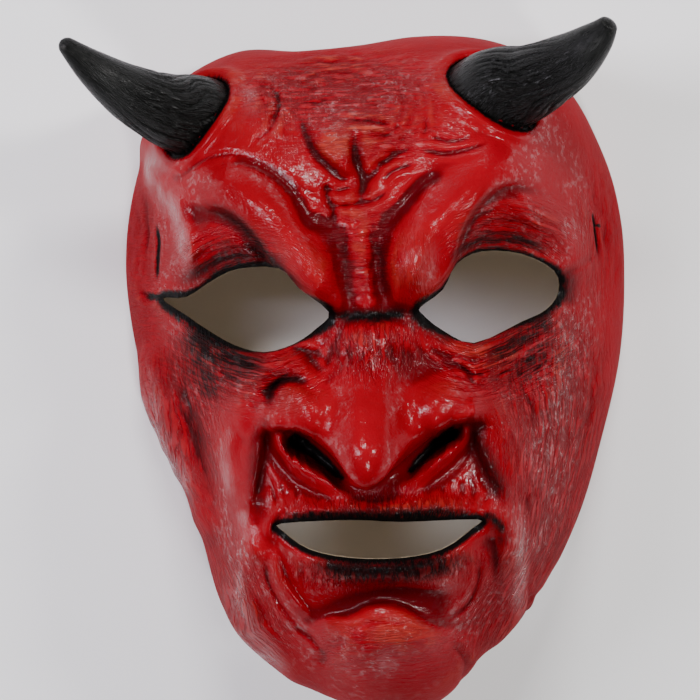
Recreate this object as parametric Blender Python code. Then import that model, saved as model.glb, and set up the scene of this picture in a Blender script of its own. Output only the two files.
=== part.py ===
# Devil mask: one hollow latex face, open at the back, with two horns set into sockets in its forehead.
# It lies face up on its rim: +X to the viewer's right, +Y towards the crown, +Z out of the face.

import math

import bmesh
import bpy
import numpy as np
from mathutils import Matrix

# Driving dimensions, in metres
FACE_LENGTH = 0.2241
FACE_WIDTH = 0.1705
DOME_HEIGHT = 0.0920
CHIN_RIM_RISE = 0.0180
CROWN_RIM_RISE = 0.0120
WALL = 0.0030
SEAT_GAP = 0.0003
SOCKET_DEPTH = 0.0050
SOCKET_FLOOR = 0.0028
SOCKET_LIP = 0.0030
SOCKET_PAD_REACH = 0.0115
SOCKET_PAD_FADE = 0.0060

# Facets: cells across and along the outside of the face, and those of the inside for each of them
FACE_COLUMNS = 50
FACE_ROWS = 56
INSIDE_COARSENING = 2
CARVING_BLUR = 1.5
HORN_SIDES = 16
HORN_RINGS = 12

# The face is drawn in millimetres at these sizes, and stretches with the driving dimensions
DRAWN_LENGTH = 224.1
DRAWN_WIDTH = 170.5
DRAWN_HEIGHT = 92.0
FACE_CENTRE = (0.0, 5.0)

# Edge of the face seen from the front, from the right of the crown round to the left and the chin
OUTLINE = [
    (86.9, 45.7), (82.5, 67.0), (71.4, 88.6), (56.0, 101.5), (38.0, 109.0), (20.0, 111.2),
    (0.6, 109.5), (-20.0, 108.5), (-40.5, 109.2), (-55.0, 102.5), (-69.6, 88.2), (-77.5, 70.0),
    (-83.1, 41.0), (-82.2, 18.0), (-76.5, -10.0), (-66.5, -34.0), (-61.4, -56.0), (-55.0, -77.5),
    (-42.5, -94.0), (-24.5, -108.6), (-4.2, -112.8), (14.0, -108.0), (34.0, -95.0), (51.5, -79.0),
    (65.0, -58.5), (76.2, -29.0), (84.2, 0.0), (87.0, 25.0),
]

# Roundness of the dome towards its sides, crown and chin: how full it is in plan and in height
SIDE_FULLNESS = (2.4, 1.35)
CROWN_FULLNESS = (3.2, 2.0)
CHIN_FULLNESS = (4.5, 2.2)

EYE_LEFT = [
    (-69.0, 27.0), (-61.7, 26.7), (-52.0, 31.9), (-43.5, 34.8), (-30.1, 34.1), (-23.7, 27.1),
    (-14.4, 18.9), (-18.4, 14.0), (-26.4, 9.1), (-36.5, 6.9), (-46.4, 9.8), (-56.2, 16.0),
    (-62.0, 20.4), (-69.1, 25.4),
]
EYE_RIGHT = [
    (15.8, 19.0), (23.4, 24.3), (28.6, 32.7), (37.1, 36.3), (50.5, 34.9), (61.2, 29.0),
    (62.5, 21.9), (57.9, 16.1), (49.3, 12.5), (32.9, 6.3), (22.4, 11.2), (16.3, 16.6),
]
MOUTH = [
    (-33.5, -49.6), (-11.0, -49.4), (5.7, -50.9), (30.8, -51.6), (29.0, -54.5), (18.6, -60.7),
    (5.1, -62.7), (-11.6, -61.8), (-24.9, -58.4), (-33.0, -52.5),
]

# Rounded masses: centre x, centre y, half widths, turn in degrees, height, and how flat the top is
MASSES = [
    (-4.0, 76.0, 15.0, 12.0, 0.0, 4.0, 1.0),
    (-50.0, 82.0, 20.0, 18.0, 0.0, 7.0, 1.0),
    (42.0, 86.0, 22.0, 18.0, 0.0, 8.0, 1.0),
    (-42.0, 21.0, 26.0, 14.0, -8.0, -9.0, 1.3),
    (42.0, 21.0, 26.0, 14.0, 8.0, -9.0, 1.3),
    (12.5, 34.0, 8.0, 13.0, -12.0, 9.0, 1.5),
    (-19.0, 34.0, 7.5, 14.0, 30.0, 6.0, 1.4),
    (1.0, 9.0, 14.0, 8.0, 0.0, 5.0, 1.4),
    (-30.0, 1.0, 11.0, 6.0, 10.0, 4.0, 1.2),
    (0.0, -60.0, 40.0, 27.0, 0.0, 9.0, 1.4),
    (46.0, -12.0, 16.0, 22.0, 10.0, 4.0, 1.2),
    (-48.0, -22.0, 14.0, 24.0, -10.0, 4.0, 1.2),
    (0.0, -76.5, 20.0, 5.5, 0.0, -4.0, 1.2),
    (0.0, -97.0, 22.0, 13.5, 0.0, 15.0, 1.7),
    (-75.0, 52.0, 6.0, 18.0, 0.0, -3.0, 1.0),
    (78.0, 45.0, 6.0, 18.0, 0.0, -3.0, 1.0),
]

# Rolls of flesh: path, half widths along it, heights along it
ROLLS = [
    ([(-57, 61), (-47, 62.5), (-38, 59), (-30, 52), (-24, 43), (-18, 33), (-13, 25)], [8, 8, 7],
      [5, 8, 8, 7]),
    ([(13, 25), (12, 33), (16, 43), (24, 50), (33, 57), (43, 63), (56, 62)], [7, 8, 8],
      [6, 7, 8, 7, 4]),
    ([(-64, 38), (-56, 46), (-48, 46), (-40, 41)], [5.5], [3, 5, 3]),
    ([(31, 42), (38, 49), (50, 50), (62, 43), (69, 33)], [5.5], [3, 5, 3]),
    ([(-70, 78), (-67, 66), (-62, 56), (-58, 47), (-57, 37), (-59, 31)], [4.5], [2, 5, 5, 3]),
    ([(-73.8, 5.9), (-74.4, -5.5), (-69.7, -16.8), (-65.2, -28.3), (-60, -37), (-58, -47)], [5],
      [4, 5, 3]),
    ([(-36, -0.6), (-44.5, -4.7), (-50.7, -10.4), (-54.1, -17.6), (-56.1, -27.3)], [4], [3, 5, 3]),
    ([(-41.7, -7.9), (-46.4, -14.3), (-50.4, -21.5), (-51.7, -29.2), (-50.6, -37), (-48.5, -43)],
      [4.5], [3, 6, 4]),
    ([(-41.8, -43.1), (-45.1, -48), (-44.3, -57.1)], [4.5], [5, 6, 5]),
    ([(-45.7, -59.3), (-47.8, -66.6), (-47.3, -74), (-44, -82), (-39, -89.5), (-31, -99)], [6],
      [5, 7, 3]),
    ([(62, 1), (61, -7), (56.6, -15)], [5], [4]),
    ([(36, -8), (41, -20), (45, -30), (48, -42)], [6], [3, 5, 3]),
    ([(36, -44), (41, -51), (42.3, -61.6), (42.7, -69), (40.5, -80), (34, -89), (25.7, -93)], [5],
      [3, 6, 5, 3]),
    ([(-26, -62), (-12, -66), (3, -67), (14, -67), (26, -63)], [4], [3, 4, 3]),
    ([(-31, -46), (-15, -45), (2, -46.5), (18, -46.5), (29, -48)], [3.5], [3, 3]),
    ([(-61, 10), (-50, 4), (-38, 2), (-26, 5)], [4.5], [3, 4, 2]),
    ([(62, 9), (52, 5), (40, 1), (28, 3)], [4.5], [3, 4, 2]),
]

# Folded-in grooves: path, half width, depths along it
GROOVES = [
    ([(-20, 85), (-18, 77), (-15, 71), (-10, 66), (-7, 63), (-2.7, 63)], 2.4, [1, 3, 3]),
    ([(-1.5, 80), (-2.7, 70), (-1.2, 61), (-0.4, 52)], 2.6, [3, 4, 2]),
    ([(-0.2, 61), (7, 67.5), (13, 70)], 2.4, [3, 2]),
    ([(-53, 69), (-47, 70), (-40, 70), (-34, 67.5), (-29, 64), (-25, 60), (-22, 55), (-19, 50),
      (-7, 47)], 2.8, [2, 4, 3]),
    ([(3.8, 46.4), (10.4, 51.5), (15.4, 56.6), (20, 60.3), (26, 62.5)], 2.8, [4, 4, 2]),
    ([(-8, 47), (-9.5, 36), (-8.5, 26), (-6.5, 18)], 2.8, [2, 4, 5]),
    ([(3.6, 46), (2.5, 36), (3.5, 26), (4.5, 18)], 2.8, [3, 4, 5]),
    ([(-15, 18.5), (-8, 17), (0, 17), (8, 17), (15, 18)], 2.6, [4, 5, 4]),
    ([(-35, -11), (-35.5, -6), (-32, -2.6), (-27.6, -2), (-23.5, -3.4), (-20.5, -7.5), (-19.5, -12)],
      2.6, [3, 6, 4, 1]),
    ([(-29, 8), (-24, 6.5), (-20, 2), (-19, -2)], 2.4, [2, 3, 2]),
    ([(-38, -14), (-36.5, -22), (-33, -30), (-27.5, -36), (-20, -41), (-11, -44)], 2.8, [2, 3, 2]),
    ([(34, -16), (31.5, -24), (27.5, -30), (21, -36), (13, -41)], 2.8, [2, 3, 2]),
    ([(-64, 2), (-63, -12), (-59.5, -24), (-56, -38), (-53, -52)], 3.0, [3, 4, 2]),
    ([(-14, -89), (-20.6, -92.8), (-23.2, -98)], 2.6, [2, 3]),
]

# Folds: the side on the left of the path stands over the other side, highest at the path
FOLDS = [
    ([(-59, 60), (-53, 56), (-48, 54), (-42, 50), (-36.6, 44), (-32.6, 37), (-27.5, 31.5), (-20, 25),
      (-14, 20)], 3.0, 15.0, [3, 7, 7, 6]),
    ([(14, 20), (20, 24), (26, 30), (29, 38), (30.5, 43), (34.4, 49), (41.5, 55.5), (49, 58),
      (59, 57)], 3.0, 15.0, [6, 7, 7, 3]),
    ([(-35, -11), (-35, -6), (-32, -3), (-27.6, -2.6), (-24, -3.8), (-21.5, -7.6)],
      2.4, 9.0, [2, 4, 2]),
    ([(-44, -46), (-41, -36), (-38, -22), (-36, -8)], 3.0, 12.0, [4, 6, 3]),
    ([(30, -8), (31, -22), (32.5, -29.5), (35.3, -36.6), (38.7, -42.6), (42.3, -48)],
      3.0, 14.0, [3, 6, 4]),
    ([(-28, -64), (-20, -69), (-12, -70), (3, -71), (14, -73), (25, -74)], 2.4, 8.0, [2, 4, 3]),
    ([(24, -89), (16, -87), (10, -83), (4.6, -79), (-1, -77.5), (-7, -78), (-12.6, -81), (-19, -81.5),
      (-27, -83)], 3.0, 10.0, [2, 6, 4]),
    ([(-25.2, -80.5), (-30, -73.6), (-34.2, -66), (-35.3, -57)], 2.6, 10.0, [3, 4, 2]),
    ([(29.5, -49), (33.7, -53.8), (37.7, -60.7), (37, -72)], 2.6, 9.0, [2, 4, 2]),
    ([(-20, 85), (-18, 77), (-15, 71), (-10, 66), (-7, 63), (-2.7, 63)], 2.4, 10.0, [2, 4, 3]),
]

# The nose: its masses and rolls end at an underside that hangs over the nostrils
NOSE_MASSES = [
    (-5.0, -27.0, 13.0, 12.0, 0.0, 7.0, 1.4),
    (-27.0, -13.0, 10.0, 11.0, 0.0, 12.0, 1.7),
    (23.0, -15.0, 10.0, 11.0, 0.0, 11.0, 1.7),
]
NOSE_ROLLS = [
    ([(-1, 10), (-2, 0), (-4, -14), (-5, -24), (-5, -33)], [10, 10, 12, 13, 12], [1, 7, 13, 14, 8]),
    ([(-2, 4), (-4, -12), (-4, -26)], [20, 27, 24], [2, 11, 11]),
]
NOSE_UNDERSIDE = [
    (-46.0, -19.0), (-34.0, -18.5), (-29.0, -19.5), (-23.0, -21.5), (-16.5, -26.6), (-11.5, -33.3),
    (-5.8, -37.9), (1.5, -34.3), (7.0, -29.8), (14.0, -24.5), (21.0, -22.5), (29.0, -19.0),
    (42.0, -17.0), (42.0, 30.0), (-46.0, 30.0),
]
NOSE_EDGE = 3.0
NOSE_WINGS = [
    ([(-35.5, -13), (-33.6, -20.4), (-30.8, -26.5), (-26, -31.8), (-20.4, -35.8), (-13, -39)], [2.4],
      [9, 8, 6, 3]),
    ([(31, -15.5), (29, -21.6), (25.7, -25.4), (21, -29.5), (15, -34), (9, -37.5)], [2.4],
      [9, 8, 6, 3]),
]

# Nostrils: blind cups along a path, with half width, depth and width of the edge
NOSTRILS = [
    ([(-27.5, -22.8), (-23.0, -26.0), (-18.0, -30.5), (-13.5, -35.5)], 3.6, 8.0, 2.4),
    ([(24.0, -22.9), (18.5, -26.5), (13.5, -30.5), (9.5, -34.5)], 3.2, 8.0, 2.4),
]

EYE_RIM = (2.5, 2.4, 1.6)
MOUTH_RIM = (3.0, 2.6, 2.0)

# Overhangs: centre x, centre y, half width, height where the lean starts, height over which it grows, shift
LEANS = [
    (-4.0, -28.0, 17.0, 103.0, 20.0, (0.0, -5.0)),
    (-22.0, 44.0, 20.0, 84.0, 12.0, (0.0, -2.0)),
    (18.0, 44.0, 20.0, 84.0, 12.0, (0.0, -2.0)),
]

# Horns: centre line through the face's own millimetres, and true diameters along it
HORNS = {
    "horn_left": {
        "root": (-37.5, 74.5, 37.0),
        "line": [(-54.2, 85.6, 51.5), (-65.0, 89.3, 60.0), (-77.2, 95.5, 68.5), (-88.5, 104.0, 76.0),
            (-98.0, 113.0, 82.0)],
        "diameters": [0.030, 0.0292, 0.0245, 0.0188, 0.0120, 0.0046],
    },
    "horn_right": {
        "root": (30.0, 79.0, 48.5),
        "line": [(45.0, 88.6, 62.5), (56.8, 91.9, 71.0), (68.9, 97.4, 80.0), (77.8, 103.8, 87.0),
            (83.2, 109.5, 91.5)],
        "diameters": [0.0325, 0.0310, 0.0250, 0.0195, 0.0125, 0.0056],
    },
}

FOOT_POINT = 5
CUTTER_REACH = 0.02

LATEX_RED = (0.62, 0.012, 0.016, 1.0)
HORN_BLACK = (0.012, 0.011, 0.011, 1.0)

STRETCH = np.array([FACE_WIDTH / DRAWN_WIDTH, FACE_LENGTH / DRAWN_LENGTH, DOME_HEIGHT / DRAWN_HEIGHT])


def ease(t):
    t = np.clip(t, 0.0, 1.0)
    return t * t * (3.0 - 2.0 * t)


def rounded(points, steps=4, closed=False):
    """A smooth curve through the points, as more points."""
    p = np.array(points, float)
    if closed:
        ends = (p[-1:], p[:2])
    else:
        ends = (2 * p[:1] - p[1:2], 2 * p[-1:] - p[-2:-1])
    q = np.vstack([ends[0], p, ends[1]])
    out = []
    for i in range(len(q) - 3):
        a, b, c, d = q[i:i + 4]
        for k in range(steps):
            t = k / steps
            out.append(0.5 * (2 * b + (c - a) * t + (2 * a - 5 * b + 4 * c - d) * t ** 2
                              + (3 * b - a - 3 * c + d) * t ** 3))
    if not closed:
        out.append(q[-2])
    return np.array(out)


def nearest(x, y, path):
    """Distance to the path, the share of its length passed there, and the side: 1 left of it, -1 right."""
    length = np.hypot(*np.diff(path, axis=0).T)
    total = length.sum()
    far = np.full(x.shape, 1e9)
    share = np.zeros(x.shape)
    side = np.ones(x.shape)
    passed = 0.0
    for a, b, run in zip(path[:-1], path[1:], length):
        way = b - a
        t = np.clip(((x - a[0]) * way[0] + (y - a[1]) * way[1]) / run ** 2, 0, 1)
        dx, dy = x - a[0] - t * way[0], y - a[1] - t * way[1]
        d = np.hypot(dx, dy)
        closer = d < far
        far = np.where(closer, d, far)
        share = np.where(closer, (passed + t * run) / total, share)
        side = np.where(closer, np.where(way[0] * dy - way[1] * dx < 0, -1.0, 1.0), side)
        passed += run
    return far, share, side


def spread(values, share):
    """A value along a path from the few that are given."""
    return np.interp(share, np.linspace(0, 1, len(values)), values)


def tapered(share, part=0.18):
    return ease(np.minimum(share, 1 - share) / part + 0.15)


def around(x, y, path, reach):
    """Which places lie in the path's own box, widened by a reach."""
    low, high = path.min(axis=0) - reach, path.max(axis=0) + reach
    return (x > low[0]) & (x < high[0]) & (y > low[1]) & (y < high[1])


def outside(x, y, outline):
    """Signed distance to a closed outline: negative inside it."""
    loop = np.vstack([outline, outline[:1]])
    far = nearest(x, y, loop)[0]
    crossings = np.zeros(x.shape, bool)
    for a, b in zip(loop[:-1], loop[1:]):
        spans = (a[1] > y) != (b[1] > y)
        rise = b[1] - a[1] if b[1] != a[1] else 1e-9
        crossings ^= spans & (x < (b[0] - a[0]) * (y - a[1]) / rise + a[0])
    return np.where(crossings, -far, far)


def masses(x, y, items):
    z = np.zeros(x.shape)
    for cx, cy, wide, tall, turn, height, flat in items:
        c, s = math.cos(math.radians(turn)), math.sin(math.radians(turn))
        a = ((x - cx) * c + (y - cy) * s) / wide
        b = ((y - cy) * c - (x - cx) * s) / tall
        z += height * np.exp(-(a * a + b * b) ** flat)
    return z


def rolls(x, y, items):
    z = np.zeros(x.shape)
    for path, widths, heights in items:
        line = rounded(path)
        at = around(x, y, line, 2.5 * max(widths))
        far, share, _ = nearest(x[at], y[at], line)
        z[at] += spread(heights, share) * np.exp(-(far / spread(widths, share)) ** 2)
    return z


def relief(x, y):
    """Height of the carving over the bare dome, in drawn millimetres."""
    z = masses(x, y, MASSES) + rolls(x, y, ROLLS)
    for path, width, depths in GROOVES:
        line = rounded(path)
        at = around(x, y, line, 2.5 * width)
        far, share, _ = nearest(x[at], y[at], line)
        z[at] -= spread(depths, share) * tapered(share) * np.exp(-(far / width) ** 2)
    for path, edge, reach, heights in FOLDS:
        line = rounded(path)
        at = around(x, y, line, 2.0 * reach)
        far, share, side = nearest(x[at], y[at], line)
        step = ease(far * side / edge + 0.5) * np.exp(-(far / reach) ** 2)
        z[at] += spread(heights, share) * tapered(share) * step
    for outline, (away, width, height) in ((EYE_LEFT, EYE_RIM), (EYE_RIGHT, EYE_RIM), (MOUTH, MOUTH_RIM)):
        loop = rounded(outline, 2, closed=True)
        at = around(x, y, loop, away + 2.5 * width)
        edge = outside(x[at], y[at], loop)
        z[at] += height * np.exp(-((edge - away) / width) ** 2)
    loop = rounded(NOSE_UNDERSIDE, 3, closed=True)
    at = around(x, y, loop, NOSE_EDGE)
    above = ease(0.5 - outside(x[at], y[at], loop) / NOSE_EDGE)
    z[at] += above * (masses(x[at], y[at], NOSE_MASSES) + rolls(x[at], y[at], NOSE_ROLLS))
    z += rolls(x, y, NOSE_WINGS)
    for path, half, depth, edge in NOSTRILS:
        line = rounded(path)
        at = around(x, y, line, half + edge)
        far = nearest(x[at], y[at], line)[0]
        z[at] -= depth * ease((half - far) / edge + 0.5)
    return z


def soft_relief(x, y):
    """The relief averaged over a small disc, so that the facets hold no ragged edges."""
    z = 2 * relief(x, y)
    for turn in np.linspace(0, 2 * math.pi, 8, endpoint=False):
        z += relief(x + CARVING_BLUR * math.cos(turn), y + CARVING_BLUR * math.sin(turn))
    return z / 10


def outline_radius(angle):
    """Distance from the face's centre to its edge, by a closed smooth curve through OUTLINE."""
    p = np.array(OUTLINE) - FACE_CENTRE
    turn = np.arctan2(p[:, 1], p[:, 0])
    order = np.argsort(turn)
    turn, radius = turn[order], np.hypot(p[:, 0], p[:, 1])[order]
    turn = np.concatenate([turn[-2:] - 2 * math.pi, turn, turn[:2] + 2 * math.pi])
    radius = np.concatenate([radius[-2:], radius, radius[:2]])
    slope = np.gradient(radius, turn)
    i = np.clip(np.searchsorted(turn, angle) - 1, 0, len(turn) - 2)
    step = turn[i + 1] - turn[i]
    t = (angle - turn[i]) / step
    return ((2 * t ** 3 - 3 * t ** 2 + 1) * radius[i] + (t ** 3 - 2 * t ** 2 + t) * step * slope[i]
            + (3 * t ** 2 - 2 * t ** 3) * radius[i + 1] + (t ** 3 - t ** 2) * step * slope[i + 1])


def dome(u, v, inset=0.0):
    """The bare dome over a square of places (u, v), each from -1 to 1, moved inwards by inset."""
    x = u * np.sqrt(1 - v * v / 2)
    y = v * np.sqrt(1 - u * u / 2)
    out = np.hypot(x, y)
    turn = np.arctan2(y, x)
    phi = np.minimum(out, 1.0) * math.pi / 2
    up, down = np.maximum(np.sin(turn), 0) ** 2, np.maximum(-np.sin(turn), 0) ** 2
    across = np.cos(turn) ** 2
    plan = across * SIDE_FULLNESS[0] + up * CROWN_FULLNESS[0] + down * CHIN_FULLNESS[0]
    rise = across * SIDE_FULLNESS[1] + up * CROWN_FULLNESS[1] + down * CHIN_FULLNESS[1]
    rim = (CROWN_RIM_RISE * ease((np.sin(turn) - 0.6) / 0.4)
           + CHIN_RIM_RISE * ease((-np.sin(turn) - 0.6) / 0.4)) / STRETCH[2]
    reach = (outline_radius(turn) - inset) * np.sin(phi) ** (2 / plan)
    height = rim + (DRAWN_HEIGHT - inset - rim) * np.maximum(np.cos(phi), 0) ** (2 / rise)
    x, y = FACE_CENTRE[0] + reach * np.cos(turn), FACE_CENTRE[1] + reach * np.sin(turn)
    return np.stack([x, y, height], -1), out


def normals(place):
    n = np.cross(np.gradient(place, axis=1), np.gradient(place, axis=0))
    return n / np.maximum(np.linalg.norm(n, axis=-1, keepdims=True), 1e-9)


def horn_line(horn):
    """Points and radii along a horn, from its root to its tip, in drawn millimetres of place and size."""
    line = rounded([horn["root"]] + horn["line"], 5)
    share = np.linspace(0, 1, len(line))
    radius = np.interp(share, np.linspace(0, 1, len(horn["diameters"])), horn["diameters"]) * 500
    return line, radius


def from_horn(place, horn):
    """How far each place of the face is from the side of the horn's foot."""
    line, radius = horn_line(horn)
    way = line[FOOT_POINT] - line[0]
    way /= np.linalg.norm(way)
    rel = place - line[0]
    along = rel @ way
    away = np.linalg.norm(rel - along[..., None] * way, axis=-1)
    return np.where(along > -20, away, 1e3) - radius[FOOT_POINT]


def socket_lip(place):
    """The raised ring of latex round each horn."""
    height = np.zeros(place.shape[:-1])
    for horn in HORNS.values():
        height += SOCKET_LIP * 1000 * np.exp(-((from_horn(place, horn) - 3.2) / 2.6) ** 2)
    return height


def socket_pad(place):
    """Where the wall is thick enough to hold a horn's foot: 1 under it, fading to 0 beside it."""
    pad = np.zeros(place.shape[:-1])
    for horn in HORNS.values():
        pad = np.maximum(pad, ease((SOCKET_PAD_REACH - from_horn(place, horn) / 1000) / SOCKET_PAD_FADE))
    return pad


def carve(place, out, height):
    """Raise the dome's places by a height: straight out at the front, along the normal at the sides."""
    lean = ease((out - 0.55) / 0.3)[..., None]
    way = (1 - lean) * np.array([0.0, 0.0, 1.0]) + lean * normals(place)
    way /= np.linalg.norm(way, axis=-1, keepdims=True)
    fade = ease((1 - out) / 0.1)
    return place + way * (height * fade)[..., None]


def overhang(place):
    moved = place.copy()
    for cx, cy, half, start, grow, (dx, dy) in LEANS:
        near = np.exp(-(((place[..., 0] - cx) ** 2 + (place[..., 1] - cy) ** 2) / half ** 2))
        share = near * ease((place[..., 2] - start) / grow)
        moved[..., 0] += dx * share
        moved[..., 1] += dy * share
    return moved


def even_out(u, v, rounds=30):
    """Slide the places so that the cells of the carved face come out about equally large."""
    for _ in range(rounds):
        place, out = dome(u, v)
        place = carve(place, out, soft_relief(place[..., 0], place[..., 1]))
        pull = {}
        for axis in (0, 1):
            run = np.linalg.norm(np.diff(place, axis=axis), axis=-1)
            step = np.hypot(np.diff(u, axis=axis), np.diff(v, axis=axis))
            pull[axis] = run / np.maximum(step, 1e-6)
        n, s, e, w = pull[0][1:, 1:-1], pull[0][:-1, 1:-1], pull[1][1:-1, 1:], pull[1][1:-1, :-1]
        total = n + s + e + w
        for grid in (u, v):
            new = n * grid[2:, 1:-1] + s * grid[:-2, 1:-1] + e * grid[1:-1, 2:] + w * grid[1:-1, :-2]
            grid[1:-1, 1:-1] += 0.6 * (new / total - grid[1:-1, 1:-1])
    return u, v


def outer_skin(columns, rows):
    u, v = np.meshgrid(np.linspace(-1, 1, columns + 1), np.linspace(-1, 1, rows + 1))
    u, v = even_out(u, v)
    place, out = dome(u, v)
    place = carve(place, out, soft_relief(place[..., 0], place[..., 1]))
    place = carve(place, out, socket_lip(place))
    return overhang(place), u, v


def under_skin(u, v, deeper=0.0, pad_depth=0.0):
    """The inside, a wall below the lowest nearby place of the outside, and deeper where that is asked."""
    wall = WALL * 1000
    bare, out = dome(u, v, inset=wall)
    outer, _ = dome(u, v)
    x, y = outer[..., 0], outer[..., 1]
    low = relief(x, y)
    for turn in np.linspace(0, 2 * math.pi, 12, endpoint=False):
        low = np.minimum(low, relief(x + 1.1 * wall * math.cos(turn), y + 1.1 * wall * math.sin(turn)))
    for _ in range(2):
        mean = (low[2:, 1:-1] + low[:-2, 1:-1] + low[1:-1, 2:] + low[1:-1, :-2]) / 4
        low[1:-1, 1:-1] = np.minimum(low[1:-1, 1:-1], 0.5 * low[1:-1, 1:-1] + 0.5 * mean)
    carved = carve(outer, out, relief(x, y))
    return overhang(carve(bare, out, low - deeper - pad_depth * socket_pad(carved)))


def to_metres(place):
    return place * STRETCH


def add_grid(bm, place, inward=False, split=False):
    """Add a grid of places as cells, each cut along one diagonal if split, and give the corners round it."""
    rows, columns = place.shape[:2]
    verts = [[bm.verts.new(place[r, c]) for c in range(columns)] for r in range(rows)]
    for r in range(rows - 1):
        for c in range(columns - 1):
            corners = [verts[r][c], verts[r][c + 1], verts[r + 1][c + 1], verts[r + 1][c]]
            cells = [corners[:3], corners[2:] + corners[:1]] if split else [corners]
            for cell in cells:
                bm.faces.new(cell[::-1] if inward else cell)
    top, right = rows - 1, columns - 1
    loop = [verts[0][c] for c in range(right)] + [verts[r][right] for r in range(top)]
    return loop + [verts[top][c] for c in range(right, 0, -1)] + [verts[r][0] for r in range(top, 0, -1)]


def bridge(bm, outer, inner):
    """The flat edge of the mask: each inner corner meets INSIDE_COARSENING cells of the outside."""
    k = INSIDE_COARSENING
    for i, here in enumerate(inner):
        after = inner[(i + 1) % len(inner)]
        fan = [outer[(i * k + j) % len(outer)] for j in range(k + 1)]
        for a, b in zip(fan[:-1], fan[1:]):
            bm.faces.new([here, b, a])
        bm.faces.new([here, after, fan[-1]])


def new_object(name, bm, material):
    mesh = bpy.data.meshes.new(name)
    bm.to_mesh(mesh)
    bm.free()
    if material:
        mesh.materials.append(material)
    thing = bpy.data.objects.new(name, mesh)
    bpy.context.scene.collection.objects.link(thing)
    mesh.shade_smooth()
    mesh.set_sharp_from_angle(angle=math.radians(70))
    return thing


def as_cutter(thing):
    thing.hide_render = True
    thing.display_type = "WIRE"
    return thing


def subtract(target, cutter):
    cut = target.modifiers.new("cut " + cutter.name, "BOOLEAN")
    cut.operation = "DIFFERENCE"
    cut.solver = "EXACT"
    cut.object = cutter


def material(name, colour, roughness):
    mat = bpy.data.materials.new(name)
    mat.use_nodes = True
    shader = mat.node_tree.nodes["Principled BSDF"]
    shader.inputs["Base Color"].default_value = colour
    shader.inputs["Roughness"].default_value = roughness
    shader.inputs["Metallic"].default_value = 0.0
    return mat


def hole_cutter(name, outline):
    """A prism through the face, whose sides are an opening's edge."""
    bm = bmesh.new()
    edge = to_metres(np.column_stack([rounded(outline, 2, closed=True), np.full(2 * len(outline), 20.0)]))
    face = bm.faces.new([bm.verts.new(p) for p in edge])
    top = bmesh.ops.extrude_face_region(bm, geom=[face])["geom"]
    bmesh.ops.translate(bm, verts=[g for g in top if isinstance(g, bmesh.types.BMVert)], vec=(0, 0, 0.12))
    bmesh.ops.recalc_face_normals(bm, faces=bm.faces)
    return as_cutter(new_object(name, bm, None))


def horn_body(name, horn, grow, mat):
    """A horn as rings round its centre line, grown by a clearance for the socket."""
    line, radius = horn_line(horn)
    line = to_metres(line)
    radius = radius / 1000 + grow
    at = np.linspace(0, len(line) - 1, HORN_RINGS)
    index = np.arange(len(line))
    centre = np.stack([np.interp(at, index, line[:, k]) for k in range(3)], -1)
    size = np.interp(at, index, radius)
    way = np.gradient(centre, axis=0)
    way /= np.linalg.norm(way, axis=1, keepdims=True)
    bm = bmesh.new()
    loops = []
    for c, w, s in zip(centre, way, size):
        side = np.cross(w, [0.0, 0.0, 1.0])
        side /= np.linalg.norm(side)
        up = np.cross(side, w)
        turns = np.linspace(0, 2 * math.pi, HORN_SIDES, endpoint=False)
        loops.append([bm.verts.new(c + s * (math.cos(t) * side + math.sin(t) * up)) for t in turns])
    for a, b in zip(loops[:-1], loops[1:]):
        for i in range(HORN_SIDES):
            j = (i + 1) % HORN_SIDES
            bm.faces.new([a[i], a[j], b[j], b[i]])
    bm.faces.new(loops[0][::-1])
    tip = bm.verts.new(centre[-1] + way[-1] * size[-1] * 0.9)
    for i in range(HORN_SIDES):
        bm.faces.new([loops[-1][i], loops[-1][(i + 1) % HORN_SIDES], tip])
    bmesh.ops.recalc_face_normals(bm, faces=bm.faces)
    bmesh.ops.triangulate(bm, faces=bm.faces, quad_method="FIXED")
    return new_object(name, bm, mat)


def core_cutter(name, u, v, depth):
    """A solid that fills the face up to a depth below its outside: it trims the horns' feet.

    Its cells are cut as the lining's are, so that two depths stay a clearance apart.
    """
    bm = bmesh.new()
    loop = add_grid(bm, to_metres(under_skin(u, v, deeper=(depth - WALL) * 1000)), split=True)
    foot = [bm.verts.new((corner.co.x, corner.co.y, -CUTTER_REACH)) for corner in loop]
    for i, corner in enumerate(loop):
        j = (i + 1) % len(loop)
        bm.faces.new([corner, loop[j], foot[j], foot[i]])
    bm.faces.new(foot)
    bmesh.ops.recalc_face_normals(bm, faces=bm.faces)
    return as_cutter(new_object(name, bm, None))


def build_mask(skin, u, v):
    k = INSIDE_COARSENING
    pad_depth = (SOCKET_DEPTH + SOCKET_FLOOR - WALL) * 1000
    lining = under_skin(u[::k, ::k], v[::k, ::k], pad_depth=pad_depth)
    bm = bmesh.new()
    outer = add_grid(bm, to_metres(skin))
    inner = add_grid(bm, to_metres(lining), inward=True, split=True)
    bridge(bm, outer, inner)
    bmesh.ops.triangulate(bm, faces=bm.faces, quad_method="SHORT_EDGE")
    mask = new_object("mask", bm, material("red latex", LATEX_RED, 0.3))
    for name, outline in (("eye left", EYE_LEFT), ("eye right", EYE_RIGHT), ("mouth", MOUTH)):
        subtract(mask, hole_cutter(name + " opening", outline))
    return mask


def stand_on_origin(solids):
    """Move everything so that the origin is under the middle of the whole mask."""
    corners = np.array([v.co for thing in solids for v in thing.data.vertices])
    low, high = corners.min(axis=0), corners.max(axis=0)
    shift = Matrix.Translation((-(low[0] + high[0]) / 2, -(low[1] + high[1]) / 2, -low[2]))
    for thing in bpy.data.objects:
        thing.data.transform(shift)


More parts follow.
